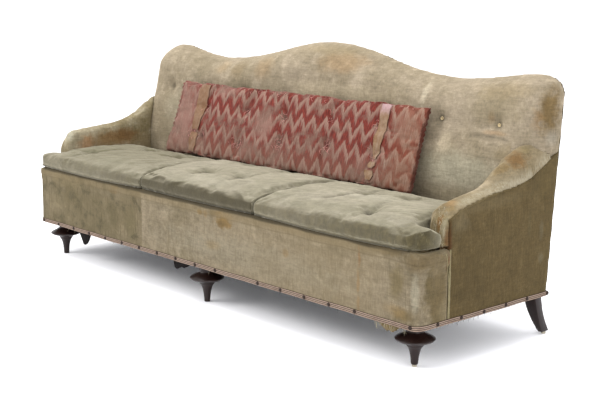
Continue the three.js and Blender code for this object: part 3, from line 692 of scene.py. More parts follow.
def make_arm(side):
    """A padded arm that sweeps up into the back."""
    node = f"{side}_arm_upholstery"
    obj = skin_of(node, f"{side}_arm_cover", 0.0048, 6)
    sharpen_seams(obj, node, [f"{side}_outside_arm", "front_border"])
    points, normals = points_of(obj), normals_of(obj)
    x, y, z = sofa_mm(points)
    x = np.abs(x)
    push = 1.8 * waves(points, (0.06, 0.12, 0.06), 3) + 0.7 * waves(points, 0.022, 4)
    upper = eased(normals[:, 2], 0.1, 0.7)
    # Folds across the bend, where the arm sweeps up.
    for start, lean, deep in ((470, 0.35, 2.6), (535, 0.5, 3.2), (590, 0.6, 2.8), (640, 0.7, 2.2)):
        line = start + lean * (x - 1046)
        push -= deep * np.exp(-((y - line) / 9) ** 2) * upper
        push += deep * 0.6 * np.exp(-((y - line - 22) / 12) ** 2) * upper
    front = eased(-normals[:, 1], 0.3, 0.9) * eased(y, 190, 150)
    push += 1.6 * np.sin(z / 9 + 3 * np.sin(x / 11)) * front
    points += normals * (push * MM)[:, None]
    points[:, 2] = np.maximum(points[:, 2], ARM_FOOT * MM)
    limit = (HALF_LENGTH + 1) * MM
    points[:, 0] = np.clip(points[:, 0], -limit, limit)
    inner = (ARM_INSIDE + 0.2) * MM
    width = points[:, 0]
    points[:, 0] = np.where(width < 0, np.minimum(width, -inner), np.maximum(width, inner))
    set_points(obj, points)
    normals = normals_of(obj)
    x, y, z = sofa_mm(points)
    seam_y, seam_z = top_line(f"{side}_outside_arm", math.copysign(TOP_LINE_X, x[0]))
    above = z - np.interp(points[:, 1], seam_y, seam_z) / MM
    outer = eased(above, 8, -4) * eased(np.abs(x), 1112, 1128) * eased(y, 130, 175)
    reach = 10 + 14 * eased(y, 300, 600)
    worn = np.exp(-((above - 14 - 3 * waves(points, 0.05, 16)) / reach) ** 2) * eased(np.abs(x), 1080, 1104)
    worn = worn * eased(y, 180, 250)
    store(obj, "outer", outer)
    store(obj, "worn", worn)
    smooth(obj)
    finish_piece(obj, arm_velvet(side), [node])


def front_velvet():
    """The front's velvet: its darker left third, its water and rust marks, a painted shadow under the
    cushions, painted shade along a crease and a painted highlight down its right corner.
    """
    c = colours()
    stains = (
        ((-760, 0, 270), (420, 40, 150), tone("7E7454"), 0.55, 0.35),
        ((-470, 0, 290), (150, 40, 110), tone("857855"), 0.5),
        ((-540, 0, 383), (40, 40, 18), c.stain, 0.6),
        ((30, 0, 365), (26, 40, 14), tone("93702C"), 0.7, 0.9),
        ((62, 0, 366), (20, 40, 22), c.stain, 0.5, 0.9),
        ((118, 0, 372), (60, 40, 18), tone("6E5A2E"), 0.75, 0.95),
        ((161, 0, 350), (62, 40, 34), tone("8A6A2A"), 0.9, 1.0),
        ((150, 0, 340), (24, 40, 20), tone("6E5220"), 0.7, 1.0),
        ((200, 0, 338), (14, 40, 18), c.stain, 0.5, 0.8),
        ((-250, 0, 372), (80, 40, 16), tone("B5A58A"), 0.5, 0.7),
        ((700, 0, 300), (160, 40, 60), tone("9A8C70"), 0.4, 0.6),
        ((330, 0, 240), (760, 40, 90), tone("A69F88"), 0.5, 0.5),
        ((420, 0, 230), (130, 40, 60), tone("8F8266"), 0.45, 0.6),
        ((560, 0, 380), (200, 40, 14), tone("8A7856"), 0.4, 0.6),
        ((180, 0, 372), (90, 40, 34), tone("A8864B"), 0.4),
        ((511, 0, 292), (26, 40, 22), c.stain, 0.45, 0.7),
        ((100, 0, 250), (60, 40, 26), tone("A58A58"), 0.4),
        ((874, 0, 350), (8, 40, 50), tone("9A6C3C"), 0.75, 0.8),
        ((870, 0, 262), (10, 40, 50), tone("A8804A"), 0.6, 0.9),
        ((872, 0, 190), (10, 40, 36), tone("A8804A"), 0.5, 0.8),
        ((1118, 40, 368), (90, 130, 44), tone("857350"), 0.85, 0.7),
        ((1000, 0, 388), (130, 40, 20), tone("756440"), 0.7, 0.6),
        ((1134, 134, 360), (30, 16, 50), tone("7A5228"), 0.85, 0.6),
        ((1040, 5, 285), (50, 60, 80), tone("7C6D45"), 0.75, 0.5),
        ((1070, 10, 190), (70, 60, 34), tone("79663B"), 0.8, 0.5),
        # Painted highlight down the rounded right front corner.
        ((1114, 6, 262), (22, 16, 92), tone("BFB79C"), 0.8, 0.5),
        ((1134, 50, 290), (24, 30, 80), tone("6A5B35"), 0.8, 0.6),
        ((1134, 90, 240), (30, 75, 170), tone("74633B"), 0.88, 0.5),
        ((1134, 120, 200), (20, 40, 50), tone("9A8B66"), 0.6, 0.6),
        ((-900, 0, 352), (210, 40, 40), tone("A8966B"), 0.6, 0.8),
        ((-809, 0, 262), (26, 40, 60), tone("4E4A30"), 0.75, 0.9),
        ((-880, 0, 300), (90, 40, 60), tone("6B613C"), 0.6, 0.9),
        ((-560, 0, 250), (50, 40, 90), tone("5C5636"), 0.6, 0.9),
        ((-692, 0, 297), (50, 40, 14), tone("57512F"), 0.7, 0.9),
        ((-545, 0, 362), (44, 40, 14), tone("9A6E34"), 0.7, 0.9),
        ((-405, 0, 352), (26, 40, 22), tone("6E5A30"), 0.7, 0.9),
        ((-430, 0, 250), (60, 40, 110), tone("6E6740"), 0.6, 0.6),
        ((-1082, 0, 340), (9, 40, 40), tone("54492C"), 0.8, 0.8),
        ((-957, 0, 180), (40, 40, 40), tone("565035"), 0.7, 0.9),
        ((-735, 0, 175), (50, 40, 26), tone("565035"), 0.7, 0.9),
        ((-1000, 0, 260), (60, 40, 60), tone("9D9170"), 0.6, 0.7),
        ((-640, 0, 210), (70, 40, 40), tone("5F5A3C"), 0.55, 0.9),
        ((-945, 0, 205), (3, 40, 42), tone("3C3524"), 0.85, 0.3),
        ((1134, 90, 280), (20, 50, 150), tone("7C6B47"), 0.6, 0.3),
        ((1040, 0, 200), (70, 40, 30), tone("A98E5E"), 0.5),
        ((-560, 0, 350), (34, 40, 40), tone("5E5A3E"), 0.45, 0.7),
    )

    def finish(shade, colour):
        x = shade.axis(shade.place, "X")
        z = shade.axis(shade.place, "Z")
        wobble = (shade.grain(0.05) - 0.5) * 0.006
        left = shade.between(x + wobble, -0.352, -0.358)
        blotch = shade.grain((0.09, 0.06, 0.07), 5.0, 0.72, 0.25)
        runs = shade.grain((0.008, 0.05, 0.07), 4.0, 0.65, 0.4)
        colour = shade.mix(left * 0.55, colour, tone("716442"))
        colour = shade.mix(left * shade.between(blotch, 0.50, 0.66) * 0.8, colour, tone("514A2F"))
        colour = shade.mix(left * shade.between(blotch, 0.45, 0.34) * 0.35, colour, tone("B3A27C"))
        colour = shade.mix(shade.between(runs, 0.54, 0.68) * (left * 0.55 + 0.3), colour, tone("5F5434"))
        inner = shade.between(x, 1.08, 0.9)
        warm = shade.between(x, -0.2, 0.7) * inner * 0.25
        colour = shade.mix(warm, colour, tone("B3A079"))
        line = z + (shade.grain(0.12) - 0.5) * 0.012
        # Painted shade along the crease below the top edge.
        crease = shade.between(line, 0.358, 0.361) * shade.between(line, 0.366, 0.362)
        colour = shade.mix(crease * 0.30, colour, tone("5F5236"))
        band = shade.between(z, 0.352, 0.372) * inner * 0.4
        colour = shade.mix(band, colour, tone("99865F"))
        contact = shade.between(line, 0.382, 0.390) * inner * shade.between(x, -1.12, -1.09)
        colour = shade.mix(contact * 0.75, colour, tone("29230F"))
        return colour

    return velvet("front_velvet", tone("A3957A"), tone("8C7F62"), tone("B8AB8E"), wear=0.55, mould=0.3,
                  ripples=0.3, streaks=(0.004, 0.05, 0.05), stains=stains, level=FRONT_LEVEL, finish=finish)


def make_front():
    """The cover of the front edge, rounded at its top and drawn round the corners."""
    obj = skin_of("front_border", "front_cover", 0.0062, 4)
    sharpen_seams(obj, "front_border", ["left_outside_arm", "right_outside_arm"])
    points, normals = points_of(obj), normals_of(obj)
    x, _, z = sofa_mm(points)
    # The top edge drops at both corners, where the cushions' ears lie on it.
    lower = 9 * eased(x, 1085, 1134) + 12 * eased(x, -1090, -1134) - 3.5
    z = z - lower * eased(z, 330, 397)
    points[:, 2] = z * MM
    outward = np.clip(-normals[:, 1], 0, 1) + np.clip(normals[:, 0] * np.sign(x), 0, 1)
    push = 3.0 * eased(z, 330, 372) * eased(z, 400, 385)
    push += 5 * eased(x, 960, 1110) * eased(z, 325, 355) * eased(z, 398, 376)
    push += 2.2 * waves(points, (0.24, 0.3, 0.16), 5) + 0.8 * waves(points, (0.05, 0.05, 0.03), 6)
    for height, deep in ((362, 1.6), (338, 0.8)):
        line = height + 3 * np.sin(x / 130)
        push -= deep * np.exp(-((z - line) / 4) ** 2)
    folds = np.sin((x * 0.6 - z * 0.9) / 9) * eased(x, 960, 1060) * eased(z, 335, 370)
    push += 1.4 * folds
    grip = eased(z, 165, 200)
    points += normals * (push * outward * grip * MM)[:, None]
    set_points(obj, points)
    smooth(obj)
    finish_piece(obj, front_velvet(), ["front_border"])


def outside_velvet():
    """The olive velvet of the side covers and the rear cover."""
    c = colours()
    grey = tone("8C8468")
    stains = (
        ((1134, 628, 389), (30, 16, 40), grey, 0.6, 0.8),
        ((1134, 632, 290), (30, 18, 26), grey, 0.7, 0.8),
        ((1134, 560, 420), (30, 12, 60), tone("7F7450"), 0.5, 0.7),
        ((1134, 300, 520), (40, 330, 34), tone("8D7F5B"), 0.6, 0.3),
        ((1134, 200, 470), (40, 60, 60), tone("978C6C"), 0.5, 0.6),
        ((1134, 144, 400), (30, 16, 100), tone("6A4420"), 0.75, 0.8),
        ((1134, 250, 240), (40, 160, 70), tone("5E4F2C"), 0.4),
        ((1134, 640, 560), (40, 60, 90), tone("8A7A4E"), 0.45),
        ((-1134, 300, 420), (40, 220, 120), tone("6A5A36"), 0.4),
        ((400, 700, 600), (300, 90, 160), tone("8A7B56"), 0.4),
        ((-600, 700, 420), (340, 90, 130), tone("5F5230"), 0.45),
        ((0, 720, 850), (500, 90, 60), tone("8F8160"), 0.4),
    )

    def finish(shade, colour):
        fine = shade.grain((0.0045, 0.0045, 0.06), 3.0, 0.65)
        broad = shade.grain((0.02, 0.02, 0.16), 3.0, 0.6)
        return shade.dimmed(colour, (fine - 0.5) * 0.8 + (broad - 0.5) * 0.3 + 1)

    return velvet("outside_velvet", c.olive, tone("6C5C35"), tone("958760"), wear=0.3, mould=0.1,
                  streaks=(0.006, 0.006, 0.12), ripples=0.15, stains=stains, sheen=0.3,
                  level=OUTSIDE_LEVEL, finish=finish)


def make_side_panels(material):
    """The covers outside the arms, nearly flat."""
    for side in ("left", "right"):
        node = f"{side}_outside_arm"
        obj = skin_of(node, f"{side}_side_cover", 0.0048, 2)
        sharpen_seams(obj, node, [f"{side}_arm_upholstery", "front_border", "inside_back"], 0.006)
        points, normals = points_of(obj), normals_of(obj)
        x, y, z = sofa_mm(points)
        line_y, line_z = top_line(node, math.copysign(TOP_LINE_X, x[0]))
        rise = eased(z - np.interp(points[:, 1], line_y, line_z) / MM, -7, -1)
        points[:, 2] += 2.6 * rise * MM
        points[:, 0] += np.sign(x) * 0.5 * rise * MM
        outward = np.clip(normals[:, 0] * np.sign(x), 0, 1) * eased(z, 165, 190)
        push = 1.6 * waves(points, (0.3, 0.2, 0.2), 7) + 0.5 * waves(points, 0.05, 8)
        push += 1.2 * np.sin(y / 17) * eased(z, 400, 520) * 0.5
        points[:, 0] += np.sign(x) * push * outward * MM
        set_points(obj, points)
        smooth(obj)
        finish_piece(obj, material, [node])


def make_rear_cover(material):
    """The flat cover behind, pulled tight over the frame and sunk a little between its rails."""
    obj = skin_of("outside_back", "rear_cover", 0.0065, 2)
    points, normals = points_of(obj), normals_of(obj)
    rearward = np.clip(normals[:, 1], 0, 1)
    push = 1.8 * waves(points, (0.3, 0.3, 0.2), 9) - 1.2
    points[:, 1] += push * rearward * MM
    set_points(obj, points)
    smooth(obj, 60)
    finish_piece(obj, material, ["outside_back"])


# ---------------------------------------------------------------- loose cushions

# How a cushion's cover behaves while it is blown up. Its pinned points keep still.
CLOTH_FRAMES = 20
CLOTH_SETTINGS = {
    "quality": 5,
    "mass": 0.15,
    "tension_stiffness": 14,
    "compression_stiffness": 10,
    "shear_stiffness": 5,
    "bending_stiffness": 0.06,
    "use_pressure": True,
    "uniform_pressure_force": 4,
    "vertex_group_mass": "tufts",
    "shrink_min": -0.05,
}

# Swell of a seat cushion's sides, in metres.
LEAST_SWELL = 0.003


def inflate(obj, pinned, limit):
    """Blows a skin up as cloth so that it creases round its pinned tufts; no point moves past a limit."""
    start = points_of(obj)
    group = obj.vertex_groups.new(name="tufts")
    group.add([int(i) for i in np.flatnonzero(pinned)], 1.0, "REPLACE")
    cloth = obj.modifiers.new("Cloth", "CLOTH")
    for key, value in CLOTH_SETTINGS.items():
        setattr(cloth.settings, key, value)
    cloth.settings.effector_weights.gravity = 0
    cloth.collision_settings.use_collision = False
    scene = bpy.context.scene
    cloth.point_cache.frame_start = 1
    cloth.point_cache.frame_end = CLOTH_FRAMES
    for number in range(1, CLOTH_FRAMES + 1):
        scene.frame_set(number)
    select_only(obj)
    bpy.ops.object.modifier_apply(modifier=cloth.name)
    scene.frame_set(1)
    moved = points_of(obj) - start
    length = np.linalg.norm(moved, axis=1)
    held = limit * np.tanh(length / limit) / np.maximum(length, 1e-9)
    share = np.where(length > 0, np.minimum(held, 1), 1)
    set_points(obj, start + moved * share[:, None])


def seat_velvet():
    """The seat cushions' velvet: olive fronts, the left cushion's grime, and painted shade in the tufts and
    creases and under the lower edge.
    """
    def finish(shade, colour):
        x = shade.axis(shade.place, "X")
        front = shade.attribute("front")
        brushed = shade.grain((0.02, 0.03, 0.025), 4.0, 0.65)
        olive = shade.mix(shade.between(brushed, 0.35, 0.7), tone("4B4122"), tone("6B5F38"))
        colour = shade.mix(front * 0.9, colour, olive)
        tufted = shade.between(shade.grain((0.004, 0.01, 0.03), 3.0), 0.56, 0.75)
        east = shade.between(x, 0.90, 1.08)
        colour = shade.mix(front * tufted * (east * 0.6 + 0.12), colour, tone("BDB48F"))
        nap = shade.grain((0.13, 0.03, 0.2), 3.0, 0.6, 0.8)
        colour = shade.mix(shade.between(nap, 0.5, 0.68) * (1 - front) * 0.38, colour, tone("8D8A6C"))
        frayed = shade.between(shade.grain((0.02, 0.02, 0.004), 3.0), 0.4, 0.6)
        colour = shade.mix(shade.attribute("rim") * frayed * 0.6, colour, tone("C9C1A6"))
        west = shade.between(x, -0.340, -0.356)
        middle = (1 - west) * shade.between(x, 0.356, 0.340)
        colour = shade.mix(front * middle * 0.75, colour, tone("3E3517"))
        grime = shade.grain((0.07, 0.05, 0.05), 5.0, 0.7, 0.3)
        colour = shade.mix(west * shade.between(grime, 0.48, 0.62) * 0.5, colour, tone("6F6849"))
        colour = shade.dimmed(colour, 1 - west * 0.09)
        # Painted shade under the cushion's lower edge and in its tufts and creases.
        colour = shade.dimmed(colour, 1 - shade.attribute("under") * 0.85)
        return shade.dimmed(colour, 1 - shade.attribute("painted_hollow_shade") * 0.72)

    stains = (
        ((-740, 250, 470), (470, 420, 130), tone("7D7757"), 0.82, 0.2),
        ((-905, 60, 470), (36, 46, 40), tone("5E5737"), 0.6, 0.9),
        ((-610, 20, 450), (60, 30, 40), tone("5E5737"), 0.55, 0.9),
        ((-470, 150, 470), (70, 60, 40), tone("6D6645"), 0.5, 0.9),
        ((-860, 240, 470), (70, 50, 40), tone("6D6645"), 0.5, 0.9),
        ((-980, 200, 470), (150, 200, 60), tone("8B8768"), 0.55),
        ((-960, 40, 460), (40, 70, 40), tone("77714E"), 0.5, 0.8),
        ((-700, 60, 470), (60, 60, 40), tone("B3AC92"), 0.5, 0.8),
        ((180, -10, 430), (200, 30, 30), tone("6E6440"), 0.5, 0.4),
        ((1110, 30, 430), (70, 60, 40), tone("6D6440"), 0.5, 0.5),
        ((-520, 330, 480), (60, 60, 60), tone("7F7A5A"), 0.5),
        ((-640, 60, 470), (200, 80, 60), tone("A09B80"), 0.4),
        ((0, 60, 480), (200, 70, 60), tone("C2BBA5"), 0.5),
        ((620, 40, 480), (190, 60, 60), tone("8F8A6C"), 0.45),
        ((1000, 250, 470), (70, 230, 60), tone("7F7858"), 0.6),
        ((1080, 50, 450), (70, 80, 60), tone("6D6440"), 0.65),
        ((700, 240, 480), (170, 90, 60), tone("CFC9B4"), 0.5),
    )
    return velvet("cushion_velvet", tone("B8AF99"), tone("A39C83"), tone("CCC5B0"), wear=0.5, stains=stains,
                  streaks=(0.012, 0.09, 0.05), sheen=0.3, level=CUSHION_LEVEL, finish=finish)


def from_segment(x, y, start, end):
    """Distance of points from a straight line between two places."""
    along = np.array(end, float) - start
    share = np.clip(((x - start[0]) * along[0] + (y - start[1]) * along[1]) / (along @ along), 0, 1)
    return np.hypot(x - start[0] - share * along[0], y - start[1] - share * along[1])


def swell_seat_cushion(obj, tufts):
    """Blows a seat cushion up round its tufts above its flat base and its hidden rear.

    Gives back how far each point looks up, and how near it is to the front edge, from 0 to 1.
    """
    start, normals = points_of(obj), normals_of(obj)
    x, y, z = sofa_mm(start)
    upward = normals[:, 2]
    base = z < DECK_TOP + 5
    rear = (y > 425) & (z > 435)
    inward = np.where(base | rear, 0.5, 3 + 3 * eased(upward, 0.3, 0.9))
    start -= normals * (inward * MM)[:, None]
    pinned = (z < DECK_TOP + 3) | rear
    for tuft_x, tuft_y in tufts:
        distance = np.hypot(x - tuft_x, y - tuft_y)
        start[:, 2] -= np.exp(-(distance / 26) ** 2) * (upward > 0) * 9 * MM
        pinned |= (distance < 7) & (upward > 0.3)
    set_points(obj, start)
    # The front edge stays rounder and swells less than the top.
    roll = eased(y, 130, 20)
    swell = sizes().cushion_swell - LEAST_SWELL
    limit = LEAST_SWELL + swell * eased(upward, 0.2, 0.8) * (1 - 0.85 * roll)
    inflate(obj, pinned, limit)
    apply_modifier(obj, "SMOOTH", factor=0.5, iterations=2)
    return upward, roll


def sink_top(points, x, y, z, name, top, roll):
    """Heights of a seat cushion's points with its tufts, creases and wrinkles worn in."""
    for tuft_x, tuft_y in SEAT_TUFTS[name]:
        distance = np.hypot(x - tuft_x, y - tuft_y)
        angle = np.arctan2(y - tuft_y, x - tuft_x)
        z = z - 2.4 * np.cos(7 * angle + tuft_x) * eased(distance, 6, 26) * np.exp(-distance / 65) * top
        z = z - 7.5 * np.exp(-((x - tuft_x) / 26) ** 2 - ((y - tuft_y) / 21) ** 2) * top
    for from_spot, to_spot, depth in SEAT_CREASES[name]:
        z = z - 1.25 * depth * np.exp(-(from_segment(x, y, from_spot, to_spot) / 12) ** 2) * top
    turned = points @ np.array(Matrix.Rotation(WRINKLE_TURN, 3, "Z"))
    ridge = 1 - np.abs(waves(turned, (0.13, 0.024, 0.1), 10)) * 2
    wrinkles = SEAT_WRINKLES[name] * np.clip(ridge, 0, 1) ** 3 * top * (1 - roll)
    return z - wrinkles + 1.5 * waves(points, 0.05, 11) * top


def store_seat_looks(obj, name, x, y, z, foot, lip):
    """Keeps where a seat cushion's front and piped rim are, and its hollows and lower edge, which get
    painted shade.
    """
    normals = normals_of(obj)
    turned = np.maximum(-normals[:, 1], np.abs(normals[:, 0]) * (np.abs(x) > ARM_INSIDE))
    front = eased(turned, 0.45, 0.82) * eased(y, 130, 60)
    if name.startswith("left"):
        front = front * (0.5 + 0.35 * eased(x, -800, -420))
    if name.startswith("right"):
        front = front * (0.70 + 0.20 * eased(x, 450, 1000))
    painted_hollow_shade = np.zeros(len(x))
    for tuft_x, tuft_y in SEAT_TUFTS[name]:
        distance = np.hypot(x - tuft_x, y - tuft_y)
        painted_hollow_shade += 1.1 * np.exp(-(distance / 17) ** 2) * (normals[:, 2] > 0)
    for from_spot, to_spot, depth in SEAT_CREASES[name]:
        distance = from_segment(x, y, from_spot, to_spot)
        painted_hollow_shade += 0.08 * depth * np.exp(-(distance / 7) ** 2) * (normals[:, 2] > 0)
    store(obj, "front", front)
    store(obj, "painted_hollow_shade", np.clip(painted_hollow_shade, 0, 1))
    store(obj, "rim", np.exp(-((z - foot - 16) / 3.5) ** 2) * lip)
    store(obj, "under", eased(z, foot + 12, foot + 4) * lip)


def make_seat_cushion(name, low_x, high_x, material):
    """A loose cushion, blown up round its tufts, with its front edge drooping over the front cover."""
    left, right = name.startswith("left"), name.startswith("right")
    obj = skin_of(name, f"{name}_cover", 0.007, 3)
    x, y, _ = sofa_mm(points_of(obj))
    ear = (np.abs(x) > ARM_INSIDE) & (y < 130)
    upward, roll = swell_seat_cushion(obj, SEAT_TUFTS[name])
    points = points_of(obj)
    x, y, z = sofa_mm(points)
    z = sink_top(points, x, y, z, name, eased(upward, 0.2, 0.8), roll)
    middle, half = (low_x + high_x) / 2, (high_x - low_x) / 2
    droop = (11 if left or right else 5) * np.cos(np.clip((x - middle) / half, -1, 1) * 1.45)
    lip = eased(y, 8, -8)
    z = z - droop * lip * eased(z, 462, 412)
    z = np.where(lip > 0.5, z, np.maximum(z, DECK_TOP))
    y = np.where((z < DECK_TOP + 3) & (y < 2), np.minimum(y, -6.5), y)
    y = y - 1.2 * waves(points, (0.05, 0.3, 0.05), 12) * eased(y, 30, 5) * eased(z, 400, 420)
    # Keeps the cushion clear of its neighbours, the arms and the back.
    x = np.clip(x, -1126 if left else low_x + 1.5, 1133 if right else high_x - 1.5)
    x = np.where(ear, x, np.clip(x, 1.2 - ARM_INSIDE, ARM_INSIDE - 1.2))
    y = np.where(ear, np.minimum(y, 90 if left else 113), y)
    y = np.clip(y, -26, 536)
    set_points(obj, np.stack([x * MM, FRONT_Y + y * MM, z * MM], axis=1))
    store_seat_looks(obj, name, x, y, z, DECK_TOP - droop, lip)
    smooth(obj)
    finish_piece(obj, material, [name])


def lumbar_matrix():
    """From the lumbar cushion's own axes, in metres, to the frame."""
    turn = Euler((-LUMBAR_LEAN, 0, 0)).to_matrix().to_4x4()
    twist = Euler((0, 0, LUMBAR_TWIST)).to_matrix().to_4x4()
    return Matrix.Translation(place(*LUMBAR_PLACE)) @ twist @ turn


def lumbar_velvet():
    """The lumbar cushion's woven zigzags, faded in places, counted along its own cover, with painted shade
    at its tufts and on its right end's side face.
    """
    c = colours()
    shade = Shade("lumbar_velvet", roughness=0.8, sheen_weight=0.14, sheen_roughness=0.4,
                  sheen_tint=tone("E8B8AE"), specular_ior_level=0.2)
    cloth = shade.attribute("cloth", "Vector")
    wobble = shade.grain((0.05, 0.05, 0.09), 3.0, 0.6, vector=cloth)
    across = shade.axis(cloth, "X") + (wobble - 0.5) * 0.018
    up = shade.axis(cloth, "Z")
    period, rise, spacing = 0.065, 0.058, 0.082
    fold = shade.node("ShaderNodeMath", {"operation": "PINGPONG"}, {0: across, 1: period / 2})
    feather = (shade.grain((0.0045, 0.05, 0.12), 2.0, 0.6, vector=cloth) - 0.5) * 0.045
    height = up - fold * (rise / (period / 2)) + feather + 0.4
    band = shade.node("ShaderNodeMath", {"operation": "FRACT"}, {0: height / spacing})
    tips = (shade.grain((0.009, 0.05, 0.2), 3.0, 0.6, vector=cloth) - 0.5) * 0.55
    red = shade.between(band, 0.0, 0.06) * shade.between(band + tips, 0.72, 0.46)
    second = shade.node("ShaderNodeMath", {"operation": "FRACT"}, {0: height / spacing + 0.22})
    thin = shade.between(second, 0.0, 0.08) * shade.between(second, 0.22, 0.12)
    worn = shade.grain((0.11, 0.1, 0.08), 4.0, 0.65, 0.5, vector=cloth)
    strength = shade.between(worn, 0.30, 0.52) * (shade.between(up, 0.02, 0.16) * 0.2 + 0.8)
    faded = (
        ((-640, 0, 160), (125, 90, 230), 0.95),
        ((-118, 0, 165), (88, 90, 78), 1.0),
        ((-190, 0, 60), (110, 90, 46), 0.6),
        ((-560, 0, 60), (120, 90, 60), 0.7),
        ((-20, 0, 70), (60, 90, 50), 0.6),
        ((640, 0, 230), (80, 90, 90), 0.7),
        ((-400, 0, 290), (120, 90, 40), 0.7),
        ((470, 0, 60), (60, 90, 50), 0.5),
    )
    for centre, reach, amount in faded:
        strength = strength * (1 - shade.spot(centre, reach, 0.25, vector=cloth) * amount)
    ground = shade.mix(shade.between(worn, 0.35, 0.65), tone("A8756A"), c.rose)
    ground = shade.mix(shade.between(up, 0.12, 0.0) * 0.6, ground, tone("B4877A"))
    east = shade.between(shade.axis(cloth, "X"), 0.50, 0.66)
    ground = shade.mix(east * 0.7, ground, tone("C08470"))
    pale = shade.mix(shade.between(shade.grain((0.004, 0.05, 0.06), 2.0, vector=cloth), 0.5, 0.75) * 0.5,
                     ground, tone("DDB9AE"))
    flicker = shade.grain((0.004, 0.05, 0.03), 3.0, 0.7, vector=cloth)
    brick = shade.mix(shade.between(flicker, 0.35, 0.65), tone("72190F"), c.brick)
    brick = shade.mix(shade.between(up, 0.14, 0.02) * 0.5, brick, tone("A05A48"))
    brick = shade.mix(east * 0.6, brick, tone("A05238"))
    colour = shade.mix(red * strength * 0.95, pale, brick)
    colour = shade.mix(thin * strength * 0.5, colour, tone("D3A294"))
    # Painted shade on the side face at the right end.
    colour = shade.mix(shade.attribute("edge") * 0.75, colour, tone("7E3A31"))
    fine = shade.grain(0.006, 3.0, 0.7, vector=cloth)
    thread = shade.grain(0.002, 2.0, 0.6, vector=cloth)
    value = 0.25 + fine * 0.6 + thread * 0.35 + worn * 0.3 + flicker * 0.25
    # Painted shade round the tufts.
    colour = shade.dimmed(colour, value * (1 - shade.attribute("painted_hollow_shade") * 0.4))
    shade.paint(colour, LUMBAR_LEVEL)
    shade.bumped(fine + thread * 0.5, 0.5, 0.0012)
    return shade.material


def make_lumbar():
    """The loose lumbar cushion with its zigzag cover, blown up round its tufts."""
    obj = skin_of("lumbar_cushion", "lumbar_cover", 0.0065, 3)
    matrix = np.array(lumbar_matrix())
    inverse = np.linalg.inv(matrix)

    def local(points):
        return points @ inverse[:3, :3].T + inverse[:3, 3]

    own = local(points_of(obj))
    inward = normals_of(obj) @ matrix[:3, :3]
    x, y, z = (own / MM).T
    near = np.stack([LUMBAR_HALF - np.abs(x), np.minimum(y, LUMBAR_DEPTH - y),
                     np.minimum(z, LUMBAR_HEIGHT - z)], axis=1)
    pinned = (np.sort(near, axis=1)[:, 1] < 7)
    own -= inward * (np.where(pinned, 0, 6) * MM)[:, None]
    own[:, 2] += 2.5 * MM * waves(own, (0.06, 0.2, 0.3), 17) * eased(z, 280, 310)
    store(obj, "cloth", own)
    facing = -inward[:, 1]
    for tuft_x, tuft_z in LUMBAR_TUFTS:
        distance = np.hypot(x - tuft_x, z - tuft_z)
        own[:, 1] += np.exp(-(distance / 20) ** 2) * np.where(facing > 0, 6, -4) * MM
        pinned |= (distance < 6) & (np.abs(facing) > 0.3)
    set_points(obj, own @ matrix[:3, :3].T + matrix[:3, 3])
    inflate(obj, pinned, LUMBAR_SWELL)
    apply_modifier(obj, "SMOOTH", factor=0.4, iterations=1)
    own = local(points_of(obj))
    x, y, z = (own / MM).T
    y = y + 1.2 * waves(own, 0.03, 12)
    for number, (tuft_x, tuft_z) in enumerate(LUMBAR_TUFTS):
        distance = np.hypot(x - tuft_x, z - tuft_z)
        angle = np.arctan2(z - tuft_z, x - tuft_x)
        pleats = np.cos(6 * angle + number) * eased(distance, 5, 20) * np.exp(-distance / 40)
        y = y + 1.6 * pleats * (facing > 0.3)
    corner = np.exp(-((LUMBAR_HALF - np.abs(x)) / 26) ** 2 - (np.minimum(z, LUMBAR_HEIGHT - z) / 26) ** 2)
    x = x + 7 * np.sign(x) * corner - 18 * eased(x, -600, -715) * eased(z, 200, 0)
    z = z + 6 * np.sign(z - LUMBAR_HEIGHT / 2) * corner - 10 * eased(z, 60, 0)
    y = y * (1 - 0.45 * eased(x, 660, 712))
    x = x + 9 * eased(x, 680, 715)
    y = np.clip(y, -14, 57)
    z = np.clip(z, -12, LUMBAR_HEIGHT + 8)
    own = np.stack([x, y, z], axis=1) * MM
    set_points(obj, own @ matrix[:3, :3].T + matrix[:3, 3])
    # How near each point is to a tuft, for painted shade.
    painted_hollow_shade = np.zeros(len(x))
    for tuft_x, tuft_z in LUMBAR_TUFTS:
        painted_hollow_shade += np.exp(-(np.hypot(x - tuft_x, z - tuft_z) / 11) ** 2) * (facing > 0)
    store(obj, "painted_hollow_shade", np.clip(painted_hollow_shade, 0, 1))
    # The right end's side face, painted darker as shade.
    store(obj, "edge", eased(x, 700, 712) * eased(y, 2, 10))
    smooth(obj)
    finish_piece(obj, lumbar_velvet(), ["lumbar_cushion"])
    return obj


def on_face(tree, matrix, x, z, lift):
    """The point that a lift in metres stands off the lumbar cushion's face at its own x and z."""
    start = matrix @ Vector((x * MM, -0.2, z * MM))
    ahead = (matrix.to_3x3() @ Vector((0, 1, 0))).normalized()
    hit = tree.ray_cast(start, ahead)[0]
    if hit is None:
        hit = matrix @ Vector((x * MM, 0, z * MM))
    return hit - ahead * lift


